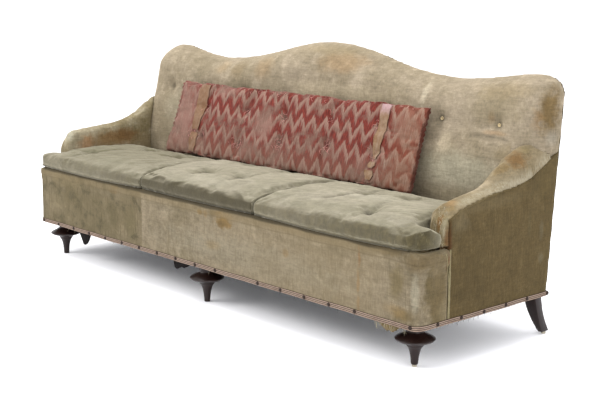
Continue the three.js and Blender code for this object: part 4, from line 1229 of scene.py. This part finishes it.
def make_straps(pillow):
    """Two worn straps down the face of the lumbar cushion, torn short of its lower edge."""
    shade = Shade("strap_suede", roughness=0.85, sheen_weight=0.2, specular_ior_level=0.15)
    z = shade.axis(shade.place, "Z")
    wear = shade.grain(0.02, 4.0, 0.65)
    base = shade.mix(shade.between(wear, 0.35, 0.65), tone("9C6F44"), colours().strap)
    east = shade.between(shade.axis(shade.place, "X"), 0.0, 0.05)
    base = shade.mix(shade.between(z + wear * 0.04, 0.745, 0.79) * east * 0.75, base, tone("D9A79B"))
    base = shade.mix((1 - east) * 0.45, base, tone("8A5A38"))
    base = shade.dimmed(base, 0.6 + shade.grain(0.004) * 0.5 + shade.grain(0.014) * 0.35)
    shade.paint(base, STRAP_LEVEL)
    shade.bumped(wear, 0.4, 0.001)
    tree = BVHTree.FromObject(pillow, bpy.context.evaluated_depsgraph_get())
    matrix = lumbar_matrix()
    # Each run of a strap as heights, middles and half widths on the cushion's face. Runs end at a break.
    straps = {
        "left_strap": (
            ((306, -534, 30), (260, -535, 29), (200, -537, 26), (140, -538, 23), (104, -539, 18)),
            ((92, -540, 15), (60, -540, 21), (30, -538, 20), (6, -538, 17)),
        ),
        "right_strap": (
            ((310, 524, 27), (250, 525, 25), (180, 524, 23), (120, 522, 19), (98, 521, 11)),
            ((86, 516, 16), (72, 514, 24), (62, 512, 14)),
            ((52, 508, 22), (34, 512, 25), (16, 514, 14)),
        ),
    }
    for name, runs in straps.items():
        lofts = []
        for run in runs:
            rings = []
            steps = 8
            for here, there in zip(run, run[1:]):
                for k in range(steps):
                    rings.append([a + (b - a) * (k / steps) for a, b in zip(here, there)])
            rings.append(run[-1])
            lofts.append([strap_ring(tree, matrix, *ring) for ring in rings])
        obj = loft(name, lofts)
        smooth(obj, 50)
        finish_piece(obj, shade.material, [name])
        area = sum(abs(a[0] - b[0]) * (a[2] + b[2]) for run in runs for a, b in zip(run, run[1:])) * MM * MM
        long = (runs[0][0][0] - runs[-1][-1][0]) * MM
        max(area, LEAST_STRAP_SHARE * STRAP_WIDTH * long)


def strap_ring(tree, matrix, z, x, half):
    """One ring of a strap: a row of points a little above the cushion and one just on it."""
    count = 9
    front, back = [], []
    for k in range(count):
        across = -1 + 2 * k / (count - 1)
        curl = 1.4 * abs(across) ** 3
        px = x + across * half + 1.2 * math.sin(z / 7.0 + across * 2)
        front.append(on_face(tree, matrix, px, z, (3.6 + curl) * MM))
        back.append(on_face(tree, matrix, px, z, (1.0 + curl * 0.8) * MM))
    return front + back[::-1]


# ---------------------------------------------------------------- trims, nails, buttons, threads

def seat_outline(outset, rear_y):
    """Plan of the covers' foot as frame points, from the left rear round the front to the right rear."""
    side_steps, corner_steps, front_steps = 24, 7, 60
    line = [(-HALF_LENGTH - outset, rear_y - (rear_y - 40) * k / side_steps) for k in range(side_steps + 1)]
    for side, radius in ((-1, 12), (1, 35)):
        centre = (side * (HALF_LENGTH - radius), radius)
        arc = []
        for k in range(corner_steps + 1):
            angle = math.pi / 2 * k / corner_steps
            turn = angle if side < 0 else math.pi / 2 - angle
            arc.append((centre[0] + side * math.cos(turn) * (radius + outset),
                        centre[1] - math.sin(turn) * (radius + outset)))
        line += arc
        if side < 0:
            line += [(-1095 + 2160 * k / front_steps, -outset) for k in range(front_steps + 1)]
    line += [(HALF_LENGTH + outset, 45 + (rear_y - 45) * k / side_steps) for k in range(side_steps + 1)]
    return line


def gimp_material():
    """Braid, pale on its ribs and dark between them."""
    shade = Shade("gimp_braid", roughness=0.85, specular_ior_level=0.15)
    along = shade.grain((0.004, 0.004, 0.004), 2.0)
    ridge = shade.attribute("ridge")
    base = shade.mix(shade.between(ridge, 0.45, 0.95), tone("2E1E1A"), tone("A59080"))
    base = shade.mix(shade.between(shade.grain(0.06), 0.5, 0.66) * 0.4, base, tone("6E584C"))
    base = shade.dimmed(base, 0.4 + along * 0.4)
    shade.paint(base)
    shade.bumped(along, 0.5, 0.0012)
    return shade.material


def make_gimp():
    """The ribbed braid along the foot of the covers."""
    material = gimp_material()
    profile = []
    for k in range(GIMP_POINTS):
        share = k / (GIMP_POINTS - 1)
        rib = abs(math.sin(share * math.pi * 3)) ** 0.6
        profile.append((share, 0.7 + 1.9 * rib, rib))
    outline = seat_outline(0.6, REAR_FOOT_Y - 4)

    def band(line, name, nodes):
        rings, heights = [], []
        for i, (x, y) in enumerate(line):
            ahead = Vector(line[min(i + 1, len(line) - 1)]) - Vector(line[max(i - 1, 0)])
            out = Vector((ahead.y, -ahead.x)).normalized()
            wave = 0.9 * math.sin(i * 0.9) + 0.5 * math.sin(i * 0.37 + 1)
            foot = COVER_BOTTOM + 0.5 + wave * 0.6
            ring = [place(x + out.x * thick, y + out.y * thick, foot + GIMP_HEIGHT * share)
                    for share, thick, _ in profile]
            ring.append(place(x, y, foot + GIMP_HEIGHT))
            ring.append(place(x, y, foot))
            rings.append(ring)
            heights += [rib for _, _, rib in profile] + [0, 0]
        obj = loft(name, [rings])
        store(obj, "ridge", heights)
        smooth(obj, 60)
        finish_piece(obj, material, nodes)

    band(outline, "gimp_front_band", ["gimp_front_and_sides"])
    rear_line = [(HALF_LENGTH - 2 * HALF_LENGTH * k / 60, REAR_FOOT_Y + 1.2) for k in range(61)]
    band(rear_line, "gimp_rear_band", ["gimp_back"])


def make_nails():
    """Dark domed nails through the braid. Two are lost from the front."""
    radius = sizes().nail_radius
    spacing = sizes().nail_spacing / MM
    # Each nail's place in the plan, and how its head is flattened against the braid.
    spots = [(MIDDLE_NAIL_X + (i - FRONT_NAILS // 2) * spacing, -NAIL_OUTSET, (1, NAIL_FLATNESS, 1))
             for i in range(FRONT_NAILS) if i not in LOST_NAILS]
    for side, depths in SIDE_NAILS.items():
        spots += [(side * (HALF_LENGTH + NAIL_OUTSET), depth, (NAIL_FLATNESS, 1, 1)) for depth in depths]
    heads = []
    rng = random.Random(4)
    for x, y, flat in spots:
        select_nothing()
        centre = place(x, y, NAIL_HEIGHT + rng.uniform(-1.5, 1.5))
        bpy.ops.mesh.primitive_uv_sphere_add(segments=12, ring_count=8, radius=radius, location=centre)
        head = bpy.context.object
        bpy.ops.object.transform_apply(location=True, rotation=True, scale=True)
        bpy.ops.object.mode_set(mode="EDIT")
        bpy.ops.transform.resize(value=flat, center_override=centre)
        bpy.ops.object.mode_set(mode="OBJECT")
        heads.append(head)
    for head in heads:
        head.select_set(True)
    bpy.context.view_layer.objects.active = heads[0]
    bpy.ops.object.join()
    obj = bpy.context.object
    obj.name = "nails"
    smooth(obj)
    finish_piece(obj, metal("nail_metal", tone("3A2F2A"), 0.4))


def make_buttons():
    """The two buttons left on the part of the back that shows."""
    radius = sizes().button_radius
    back = bpy.data.objects["back_cover"]
    tree = BVHTree.FromObject(back, bpy.context.evaluated_depsgraph_get())
    made = []
    for x in KEPT_BUTTONS:
        hit = tree.ray_cast(place(x, 0, BACK_BUTTON_HEIGHT), Vector((0, 1, 0)))[0]
        centre = hit + Vector((0, -0.003, 0))
        select_nothing()
        bpy.ops.mesh.primitive_cylinder_add(vertices=24, radius=radius, depth=0.005, location=centre,
                                            rotation=(math.pi / 2, 0, 0))
        bpy.ops.object.transform_apply(location=True, rotation=True, scale=True)
        obj = bpy.context.object
        bpy.ops.object.mode_set(mode="EDIT")
        bpy.ops.mesh.select_mode(type="FACE")
        bpy.ops.mesh.select_all(action="DESELECT")
        bpy.ops.object.mode_set(mode="OBJECT")
        for face in obj.data.polygons:
            face.select = face.normal.y < -0.9
        bpy.ops.object.mode_set(mode="EDIT")
        bpy.ops.mesh.inset(thickness=radius * 0.35, depth=0.0)
        bpy.ops.mesh.inset(thickness=radius * 0.15, depth=-0.0016)
        bpy.ops.object.mode_set(mode="OBJECT")
        apply_modifier(obj, "BEVEL", width=0.0009, segments=2, limit_method="ANGLE", angle_limit=0.6)
        made.append(obj)
    select_only(made[0])
    made[1].select_set(True)
    bpy.ops.object.join()
    obj = bpy.context.object
    obj.name = "back_buttons"
    smooth(obj, 50)
    finish_piece(obj, plain_cloth("button_cloth", tone("BCA983"), 0.0012))


def make_arm_seams(material):
    """The hand-sewn ridge where each arm's cover meets the flat cover outside it."""
    for side, sign in (("left", -1), ("right", 1)):
        depths, heights = top_line(f"{side}_outside_arm", sign * TOP_LINE_X)
        line = [Vector((sign * (HALF_LENGTH + 0.3) * MM, y, z + 0.4 * MM))
                for y, z in zip(depths[1:-1:3], heights[1:-1:3])]
        obj = loft(f"{side}_arm_seam", [tube(line, 1.7 * MM, 8)])
        smooth(obj, 70)
        finish_piece(obj, material)


def make_side_cords():
    """Pale cords where the front cover meets the side covers, one standing proud beside a flatter one."""
    material = plain_cloth("cord_cloth", tone("7C7357"), 0.0016, 0.6)
    cover = tree_of(bpy.data.objects["front_cover"])
    for side, sign in (("left", -1), ("right", 1)):
        runs = []

        def on_cover(y, z, lift, sign=sign):
            hit = cover.ray_cast(place(sign * 1300, y, z), Vector((-sign, 0, 0)), 0.2)[0]
            return place(max(abs(hit.x) / MM if hit else 0, HALF_LENGTH) * sign + sign * lift, y, z)

        # The right cord wanders forward at its upper end.
        jog = [(141, 384), (142, 300)]
        if sign > 0:
            jog = [(118, 384), (123, 366), (129, 345), (135, 322), (140, 300)]
        line = jog + [(142, 270), (142.5, 220), (142.5, 190), (142.5, 165)]
        runs.append(tube([on_cover(y, z, 1.0) for y, z in line], 1.5 * MM, 8))
        second = [(150.5, 318), (150, 300), (150, 250), (150.4, 200), (150, 165)]
        runs.append(tube([place(sign * (HALF_LENGTH + 0.6), y, z) for y, z in second], 1.1 * MM, 8))
        filler = [(146.5, 392), (146.5, 280), (146.5, 165)]
        runs.append(tube([place(sign * (HALF_LENGTH - 0.4), y, z) for y, z in filler], 3.4 * MM, 8))
        obj = loft(f"{side}_seam_cords", runs)
        smooth(obj, 70)
        finish_piece(obj, material, [f"{side}_side_piping"])


def thread(rng, start, reach, droop, radius):
    """A loose thread that leaves a point and bends down under its own weight."""
    drift = Vector([rng.uniform(-1, 1) * reach for _ in range(3)])
    points = []
    for k in range(THREAD_STEPS + 1):
        t = k / THREAD_STEPS
        points.append(start + drift * t + Vector((0, 0, -droop * t * t)) +
                      Vector((math.sin(t * 5 + start.x * 90), 0, 0)) * reach * 0.15)
    return tube(points, radius, 3, 0.5)


def make_frays():
    """Loose threads at the torn places: the right arm's front, the hem, and under the braid."""
    rng = random.Random(11)
    radius = sizes().thread_radius
    pale, dark = [], []
    # The front of the right arm.
    for _ in range(70):
        x, z = rng.uniform(1082, 1130), rng.uniform(405, 535)
        start = place(x, 120 - 3 + rng.uniform(0, 4) + max(0, z - 500) * 0.5, z)
        pale.append(thread(rng, start, 0.007, 0.016, radius))
    # The torn hem, then the whole front, then the right side.
    for _ in range(60):
        start = place(rng.uniform(940, 1075), rng.uniform(1, 14), COVER_BOTTOM - 1)
        pale.append(thread(rng, start, 0.008, rng.uniform(0.008, 0.026), radius))
    for _ in range(60):
        start = place(rng.uniform(-1080, 1050), rng.uniform(0, 10), COVER_BOTTOM)
        bunch = pale if rng.random() < 0.5 else dark
        bunch.append(thread(rng, start, 0.006, rng.uniform(0.003, 0.012), radius))
    for _ in range(26):
        start = place(HALF_LENGTH - rng.uniform(0, 8), rng.uniform(60, 640), COVER_BOTTOM)
        dark.append(thread(rng, start, 0.005, rng.uniform(0.004, 0.014), radius))
    for name, runs, code in (("pale_threads", pale, "A39A84"), ("dark_threads", dark, "3E332A")):
        obj = loft(name, runs)
        smooth(obj)
        finish_piece(obj, plain_cloth(f"{name}_cloth", tone(code), 0.002))


def rag(name, columns, top, drop, depth, material, seed):
    """A hanging scrap of cloth with a ragged lower edge.

    columns are places along the sofa. drop and depth give a length for shares of the scrap's width and
    height.
    """
    rng = random.Random(seed)
    ragged = [rng.uniform(0.78, 1.0) for _ in columns]
    rows = 6
    rings = []
    length = columns[-1] - columns[0]
    total = sum(drop(i / (len(columns) - 1)) * r for i, r in enumerate(ragged))
    area = total * length / len(columns) * MM * MM
    for i, x in enumerate(columns):
        share = i / (len(columns) - 1)
        front, back = [], []
        for r in range(rows + 1):
            t = r / rows
            z = top - drop(share) * ragged[i] * t
            y = depth(share, t)
            front.append(place(x + 1.5 * t * math.sin(i), y - 0.5, z))
            back.append(place(x + 1.5 * t * math.sin(i), y + 0.5, z))
        rings.append(front + back[::-1])
    obj = loft(name, [rings])
    smooth(obj, 70)
    finish_piece(obj, material)


def make_lumbar_threads(pillow):
    """Pink threads sprung loose round the lumbar cushion's lost buttons and along its upper edge."""
    rng = random.Random(23)
    tree = BVHTree.FromObject(pillow, bpy.context.evaluated_depsgraph_get())
    matrix = lumbar_matrix()
    radius = sizes().thread_radius * 1.1
    runs = []
    places = [(x, z, 26) for x, z in LUMBAR_TUFTS for _ in range(7)]
    places += [(-250, 74, 45), (-9, 100, 45), (254, 121, 40), (-540, 96, 30)] * 9
    places += [(rng.uniform(-690, 690), 306, 12) for _ in range(40)]
    for x, z, spread in places:
        fx, fz = x + rng.gauss(0, spread * 0.4), z + rng.gauss(0, spread * 0.4)
        turn, reach = rng.uniform(0, math.tau), rng.uniform(8, 24)
        points = []
        for k in range(THREAD_STEPS + 1):
            t = k / THREAD_STEPS
            px = fx + math.cos(turn + t) * reach * t
            pz = min(312, max(4, fz + math.sin(turn + t) * reach * t))
            lift = (1.2 + 3.5 * math.sin(t * math.pi)) * MM
            points.append(on_face(tree, matrix, max(-705, min(705, px)), pz, lift))
        runs.append(tube(points, radius, 3, 0.6))
    obj = loft("lumbar_threads", runs)
    smooth(obj)
    finish_piece(obj, plain_cloth("lumbar_thread_cloth", tone("C98E86"), 0.002))


def make_hem_rag():
    """The front cover's hem, torn loose by the right foot and hanging below the braid."""
    columns = [955 + 8 * k for k in range(14)]

    def drop(s):
        return 6 + 24 * math.sin(math.pi * min(1, s * 1.1)) ** 0.7

    def depth(s, t):
        return 5 + 5 * t * t + 2 * math.sin(s * 9)

    material = plain_cloth("hem_cloth", tone("6B5C40"), 0.002)
    rag("torn_hem", columns, COVER_BOTTOM + 3, drop, depth, material, 5)


def make_dust_cloth():
    """The thin dark cloth tacked under the frame, sagging and torn, with flaps that hang from its front."""
    material = plain_cloth("dust_cambric", tone("1F1C1B"), 0.0018, 0.5)
    low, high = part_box("dust_cover")
    select_nothing()
    bpy.ops.mesh.primitive_grid_add(x_subdivisions=90, y_subdivisions=28, size=2)
    obj = bpy.context.object
    obj.name = "dust_cloth"
    points = points_of(obj)
    x = (low.x + high.x) / 2 + points[:, 0] * (high.x - low.x) / 2
    y = (low.y + high.y) / 2 + points[:, 1] * (high.y - low.y) / 2
    edge = np.minimum(1 - np.abs(points[:, 0]), 1 - np.abs(points[:, 1]))
    new = np.stack([x, y, np.full(len(x), DUST_CLOTH_HEIGHT)], axis=1)
    new[:, 2] -= eased(edge, 0, 0.3) * 0.004 + np.abs(waves(new, 0.09, 13)) * 0.0015 * eased(edge, 0, 0.1)
    set_points(obj, new)
    apply_modifier(obj, "SOLIDIFY", thickness=0.0006, offset=0)
    smooth(obj, 70)
    finish_piece(obj, material, ["dust_cover"])

    # Name, its two ends and its depth, how far each place hangs down, backward sweep, and flat size.
    flaps = (
        ("dust_flap_left", -900, -800, 40, lambda s: 84 * (1 - abs(1.7 * s - 0.7)) ** 0.9 + 4,
         45, (0.1, 0.08)),
        ("dust_flap_centre", -215, -90, 50, lambda s: 62 * (1 - s) ** 0.5 + 3, 34, (0.125, 0.06)),
        ("dust_flap_right", 1060, 1100, 350, lambda s: 18 * (1 - abs(2 * s - 1)) + 2, 2, (0.04, 0.018)),
        ("dust_flap_rear", 1062, 1100, 556, lambda s: 20 * (1 - abs(2 * s - 1)) + 3, 2, (0.038, 0.02)),
    )
    for number, (name, start, end, y, drop, sweep, flat) in enumerate(flaps):
        columns = [start + (end - start) * k / 10 for k in range(11)]

        def depth(s, t, y=y, sweep=sweep):
            return y + sweep * 0.25 * t * t + 2 * math.sin(s * 7 + t * 3)

        rag(name, columns, COVER_BOTTOM + 2, drop, depth, material, 20 + number)


# ---------------------------------------------------------------- feet

# Name, place in the plan and lowest level of each turned foot.
FOOT_PLACES = (("left", -1057, 76, 0), ("centre", 0, 54, 0), ("right", 1057, 76, GLIDE_TOP))

# Height and radius of a turned foot, from the floor up.
FOOT_LEVELS = (
    (0, 11), (3, 11.6), (14, 12.4), (26, 13.4), (38, 15), (50, 17.4), (60, 20.4), (68, 24.5),
    (73, 29), (76, 29.4), (80, 33), (85, 42), (89, 58), (92, 64), (95.5, 67), (98, 66.5),
    (101, 63), (106, 54), (112, 42), (118, 31.5), (122, 29.6), (130, 29), (146, 29),
)


def make_turned_foot(name, x, y, base, material, node):
    """A turned foot drawn up ring by ring: a trumpet column under a wide saucer and a neck."""
    centre = place(x, y, base)
    first = FOOT_LEVELS[0][1] * MM
    select_nothing()
    bpy.ops.mesh.primitive_circle_add(vertices=48, radius=first, fill_type="NGON", location=centre)
    obj = bpy.context.object
    obj.name = name
    bpy.ops.object.transform_apply(location=True, rotation=True, scale=True)
    bpy.ops.object.mode_set(mode="EDIT")
    height, radius = base, FOOT_LEVELS[0][1]
    for level, new_radius in FOOT_LEVELS[1:]:
        if level <= height:
            continue
        bpy.ops.mesh.extrude_region_move(TRANSFORM_OT_translate={"value": (0, 0, (level - height) * MM)})
        share = new_radius / radius
        bpy.ops.transform.resize(value=(share, share, 1), center_override=place(x, y, level))
        height, radius = level, new_radius
    turn_faces_out()
    smooth(obj, 38)
    finish_piece(obj, material, [node])


# Height of a rear leg's levels from the frame down, with its inner, outer, front and rear places. The
# right leg ends on its glide, and the others go on to the floor.
LEG_LEVELS = (
    (144.6, 1070, 1118, 634, 670), (128, 1070, 1118, 637, 672), (112, 1071, 1119, 640, 675),
    (98, 1073, 1119, 644, 678), (84, 1076, 1120, 648, 681), (70, 1081, 1121, 652, 685),
    (56, 1086, 1122, 656, 690), (42, 1092, 1123, 660, 696), (30, 1098, 1124, 664, 702),
    (18, 1103, 1125, 669, 708), (GLIDE_TOP, 1108, 1125, 673, 714),
)
LEG_FLOOR_LEVEL = (0, 1108, 1125, 674, 716)


def make_rear_leg(name, side, material, node):
    """A swept square leg, drawn down level by level and eased at its edges."""
    levels = LEG_LEVELS if side == 1 else (*LEG_LEVELS, LEG_FLOOR_LEVEL)

    def middle(level):
        z, x0, x1, y0, y1 = level
        return (0 if side == 0 else side * (x0 + x1) / 2, (y0 + y1) / 2, z), (x1 - x0, y1 - y0)

    spot, size = middle(levels[0])
    select_nothing()
    bpy.ops.mesh.primitive_plane_add(size=1, location=place(*spot))
    obj = bpy.context.object
    obj.name = name
    bpy.ops.object.transform_apply(location=True, rotation=True, scale=True)
    bpy.ops.object.mode_set(mode="EDIT")
    bpy.ops.transform.resize(value=(size[0] * MM, size[1] * MM, 1), center_override=place(*spot))
    for level in levels[1:]:
        new_spot, new_size = middle(level)
        shift = (place(*new_spot) - place(*spot))
        bpy.ops.mesh.extrude_region_move(TRANSFORM_OT_translate={"value": tuple(shift)})
        share = (new_size[0] / size[0], new_size[1] / size[1], 1)
        bpy.ops.transform.resize(value=share, center_override=place(*new_spot))
        spot, size = new_spot, new_size
    turn_faces_out()
    apply_modifier(obj, "BEVEL", width=0.0018, segments=2, limit_method="ANGLE", angle_limit=0.9)
    smooth(obj, 35)
    finish_piece(obj, material, [node])


def dress_inner_parts():
    """Gives the frame, springs and webbing, which stay as they are, their own finishes."""
    hardwood = wood("frame_hardwood", tone("9C7A52"), tone("B99C74"), 0.6, 0.0)
    finishes = {
        "spring_steel": metal("spring_wire", tone("8C8C8C"), 0.35),
        "webbing": plain_cloth("jute_webbing", tone("B59A6A"), 0.003),
        "burlap": plain_cloth("burlap_cloth", tone("A08558"), 0.0022),
        "deck_cloth": plain_cloth("deck_velvet", tone("9A8C6C"), 0.002),
        "frame_wood": hardwood,
        "glide": plain_cloth("scuffed_glide", tone("A39C8C"), 0.004, 0.75, 0.45),
    }
    for row in frame["record"]["subparts"]:
        material = finishes.get(row["material_slot"])
        if material is not None:
            mesh = frame["nodes"][row["node"]].data
            mesh.materials.clear()
            mesh.materials.append(material)


# ---------------------------------------------------------------- stage

CAMERA_PLACE = (3497, -2687, 1247)
CAMERA_YAW = 47.298
CAMERA_PITCH = 10.847
CAMERA_ROLL = 0.436
CAMERA_LENS = 70.80
AIR_STRENGTH = 1.5
FLOOR_SIZE = 40

# Lights: name, place, target, width and height in metres, power in watts, and colour.
LIGHTS = (
    ("key_light", (-2.6, -4.2, 3.6), (0, 0, 0.4), (3.0, 2.4), 190, (1.0, 0.985, 0.96)),
    ("top_light", (0.2, -0.4, 4.2), (0, 0, 0.3), (4.2, 3.0), 130, (1, 1, 1)),
    ("side_light", (4.2, -1.6, 1.3), (0.9, -0.1, 0.0), (2.0, 1.2), 60, (1, 1, 1)),
)


def make_camera():
    yaw, pitch, roll = (math.radians(v) for v in (CAMERA_YAW, CAMERA_PITCH, CAMERA_ROLL))
    ahead = Vector((-math.sin(yaw) * math.cos(pitch), math.cos(yaw) * math.cos(pitch), -math.sin(pitch)))
    right = Vector((math.cos(yaw), math.sin(yaw), 0))
    up = right.cross(ahead)
    turned_right = right * math.cos(roll) + up * math.sin(roll)
    turned_up = up * math.cos(roll) - right * math.sin(roll)
    data = bpy.data.cameras.new("camera")
    data.lens = CAMERA_LENS
    data.sensor_width = 36
    data.clip_end = 60
    camera = bpy.data.objects.new("camera", data)
    turn = Matrix((turned_right, turned_up, -ahead)).transposed().to_4x4()
    camera.matrix_world = Matrix.Translation(place(*CAMERA_PLACE)) @ turn
    bpy.context.scene.collection.objects.link(camera)
    bpy.context.scene.camera = camera


def make_light(name, location, target, size, energy, colour):
    data = bpy.data.lights.new(name, "AREA")
    data.shape = "RECTANGLE"
    data.size, data.size_y = size
    data.energy = energy
    data.color = colour
    light = bpy.data.objects.new(name, data)
    light.location = location
    aim = Vector(target) - Vector(location)
    light.rotation_euler = aim.to_track_quat("-Z", "Y").to_euler()
    bpy.context.scene.collection.objects.link(light)


def make_stage():
    scene = bpy.context.scene
    scene.view_settings.view_transform = "Standard"
    scene.view_settings.look = "None"
    make_camera()
    world = bpy.data.worlds.new("studio_air")
    world.use_nodes = True
    world.node_tree.nodes["Background"].inputs["Color"].default_value = (1, 1, 1, 1)
    world.node_tree.nodes["Background"].inputs["Strength"].default_value = AIR_STRENGTH
    scene.world = world
    for light in LIGHTS:
        make_light(*light)
    select_nothing()
    bpy.ops.mesh.primitive_grid_add(x_subdivisions=4, y_subdivisions=4, size=FLOOR_SIZE,
                                    location=(0, 0, -0.0005))
    floor = bpy.context.object
    floor.name = "floor"
    shade = Shade("floor_paper", base_color=(0.962, 0.966, 1.0), roughness=0.8, specular_ior_level=0.1)
    floor.data.materials.append(shade.material)


# ---------------------------------------------------------------- operators

class SofaOperator:
    bl_options = {"REGISTER", "UNDO"}

    def execute(self, context):
        self.make(context)
        return {"FINISHED"}


class SOFA_OT_back(SofaOperator, bpy.types.Operator):
    """Make the padded back with its tufts"""
    bl_idname = "sofa.back"
    bl_label = "Padded back"

    def make(self, context):
        make_back()


class SOFA_OT_arms(SofaOperator, bpy.types.Operator):
    """Make both padded arms"""
    bl_idname = "sofa.arms"
    bl_label = "Arms"

    def make(self, context):
        for side in ("left", "right"):
            make_arm(side)


class SOFA_OT_front(SofaOperator, bpy.types.Operator):
    """Make the cover of the front edge"""
    bl_idname = "sofa.front"
    bl_label = "Front cover"

    def make(self, context):
        make_front()


class SOFA_OT_outside(SofaOperator, bpy.types.Operator):
    """Make the covers of the sides and the rear"""
    bl_idname = "sofa.outside"
    bl_label = "Outside covers"

    def make(self, context):
        material = outside_velvet()
        make_side_panels(material)
        make_arm_seams(material)
        make_rear_cover(material)


class SOFA_OT_seat_cushions(SofaOperator, bpy.types.Operator):
    """Make the three loose seat cushions"""
    bl_idname = "sofa.seat_cushions"
    bl_label = "Seat cushions"

    def make(self, context):
        material = seat_velvet()
        edges = (-HALF_LENGTH, -SEAM_X, SEAM_X, HALF_LENGTH)
        for side, low_x, high_x in zip(("left", "centre", "right"), edges, edges[1:]):
            make_seat_cushion(f"{side}_seat_cushion", low_x, high_x, material)


class SOFA_OT_lumbar(SofaOperator, bpy.types.Operator):
    """Make the lumbar cushion and its straps"""
    bl_idname = "sofa.lumbar"
    bl_label = "Lumbar cushion"

    def make(self, context):
        pillow = make_lumbar()
        make_straps(pillow)
        make_lumbar_threads(pillow)


class SOFA_OT_trims(SofaOperator, bpy.types.Operator):
    """Make the braid, the seam cords, the nails and the buttons"""
    bl_idname = "sofa.trims"
    bl_label = "Trims"

    def make(self, context):
        make_gimp()
        make_side_cords()
        make_nails()
        make_buttons()


class SOFA_OT_tears(SofaOperator, bpy.types.Operator):
    """Make the frayed threads, the torn hem and the dust cloth"""
    bl_idname = "sofa.tears"
    bl_label = "Tears and dust cloth"

    def make(self, context):
        make_dust_cloth()
        make_hem_rag()
        make_frays()


class SOFA_OT_feet(SofaOperator, bpy.types.Operator):
    """Make the turned front feet and the swept rear legs"""
    bl_idname = "sofa.feet"
    bl_label = "Feet"

    def make(self, context):
        polish = wood("dark_polish", colours().wood, tone("44291F"), 0.3, 0.12)
        for side, x, y, base in FOOT_PLACES:
            make_turned_foot(f"turned_foot_{side}", x, y, base, polish, f"front_{side}_foot")
        for side, sign in (("left", -1), ("centre", 0), ("right", 1)):
            make_rear_leg(f"swept_leg_{side}", sign, polish, f"{side}_rear_leg")


class SOFA_OT_inner_parts(SofaOperator, bpy.types.Operator):
    """Give the frame, springs and webbing their finishes"""
    bl_idname = "sofa.inner_parts"
    bl_label = "Inner parts"

    def make(self, context):
        dress_inner_parts()


class SOFA_OT_stage(SofaOperator, bpy.types.Operator):
    """Make the floor, the lights and the camera"""
    bl_idname = "sofa.stage"
    bl_label = "Stage"

    def make(self, context):
        make_stage()


OPERATORS = (SOFA_OT_back, SOFA_OT_arms, SOFA_OT_front, SOFA_OT_outside, SOFA_OT_seat_cushions,
             SOFA_OT_lumbar, SOFA_OT_trims, SOFA_OT_tears, SOFA_OT_feet, SOFA_OT_inner_parts, SOFA_OT_stage)


class SOFA_PT_panel(bpy.types.Panel):
    """The sofa's pieces in the order in which they are made"""
    bl_idname = "SOFA_PT_panel"
    bl_label = "Worn sofa"
    bl_space_type = "VIEW_3D"
    bl_region_type = "UI"
    bl_category = "Sofa"

    def draw(self, context):
        column = self.layout.column()
        for operator in OPERATORS:
            column.operator(operator.bl_idname)
        for group in (context.scene.sofa_sizes, context.scene.sofa_colours):
            for name in group.__annotations__:
                column.prop(group, name)


CLASSES = (SofaSizes, SofaColours, *OPERATORS, SOFA_PT_panel)


def register():
    for made in CLASSES:
        bpy.utils.register_class(made)
    bpy.types.Scene.sofa_sizes = bpy.props.PointerProperty(type=SofaSizes)
    bpy.types.Scene.sofa_colours = bpy.props.PointerProperty(type=SofaColours)


def unregister():
    del bpy.types.Scene.sofa_colours
    del bpy.types.Scene.sofa_sizes
    for made in reversed(CLASSES):
        bpy.utils.unregister_class(made)


def main():
    register()
    for operator in OPERATORS:
        group, name = operator.bl_idname.split(".")
        getattr(getattr(bpy.ops, group), name)()


if __name__ == "__main__":
    main()
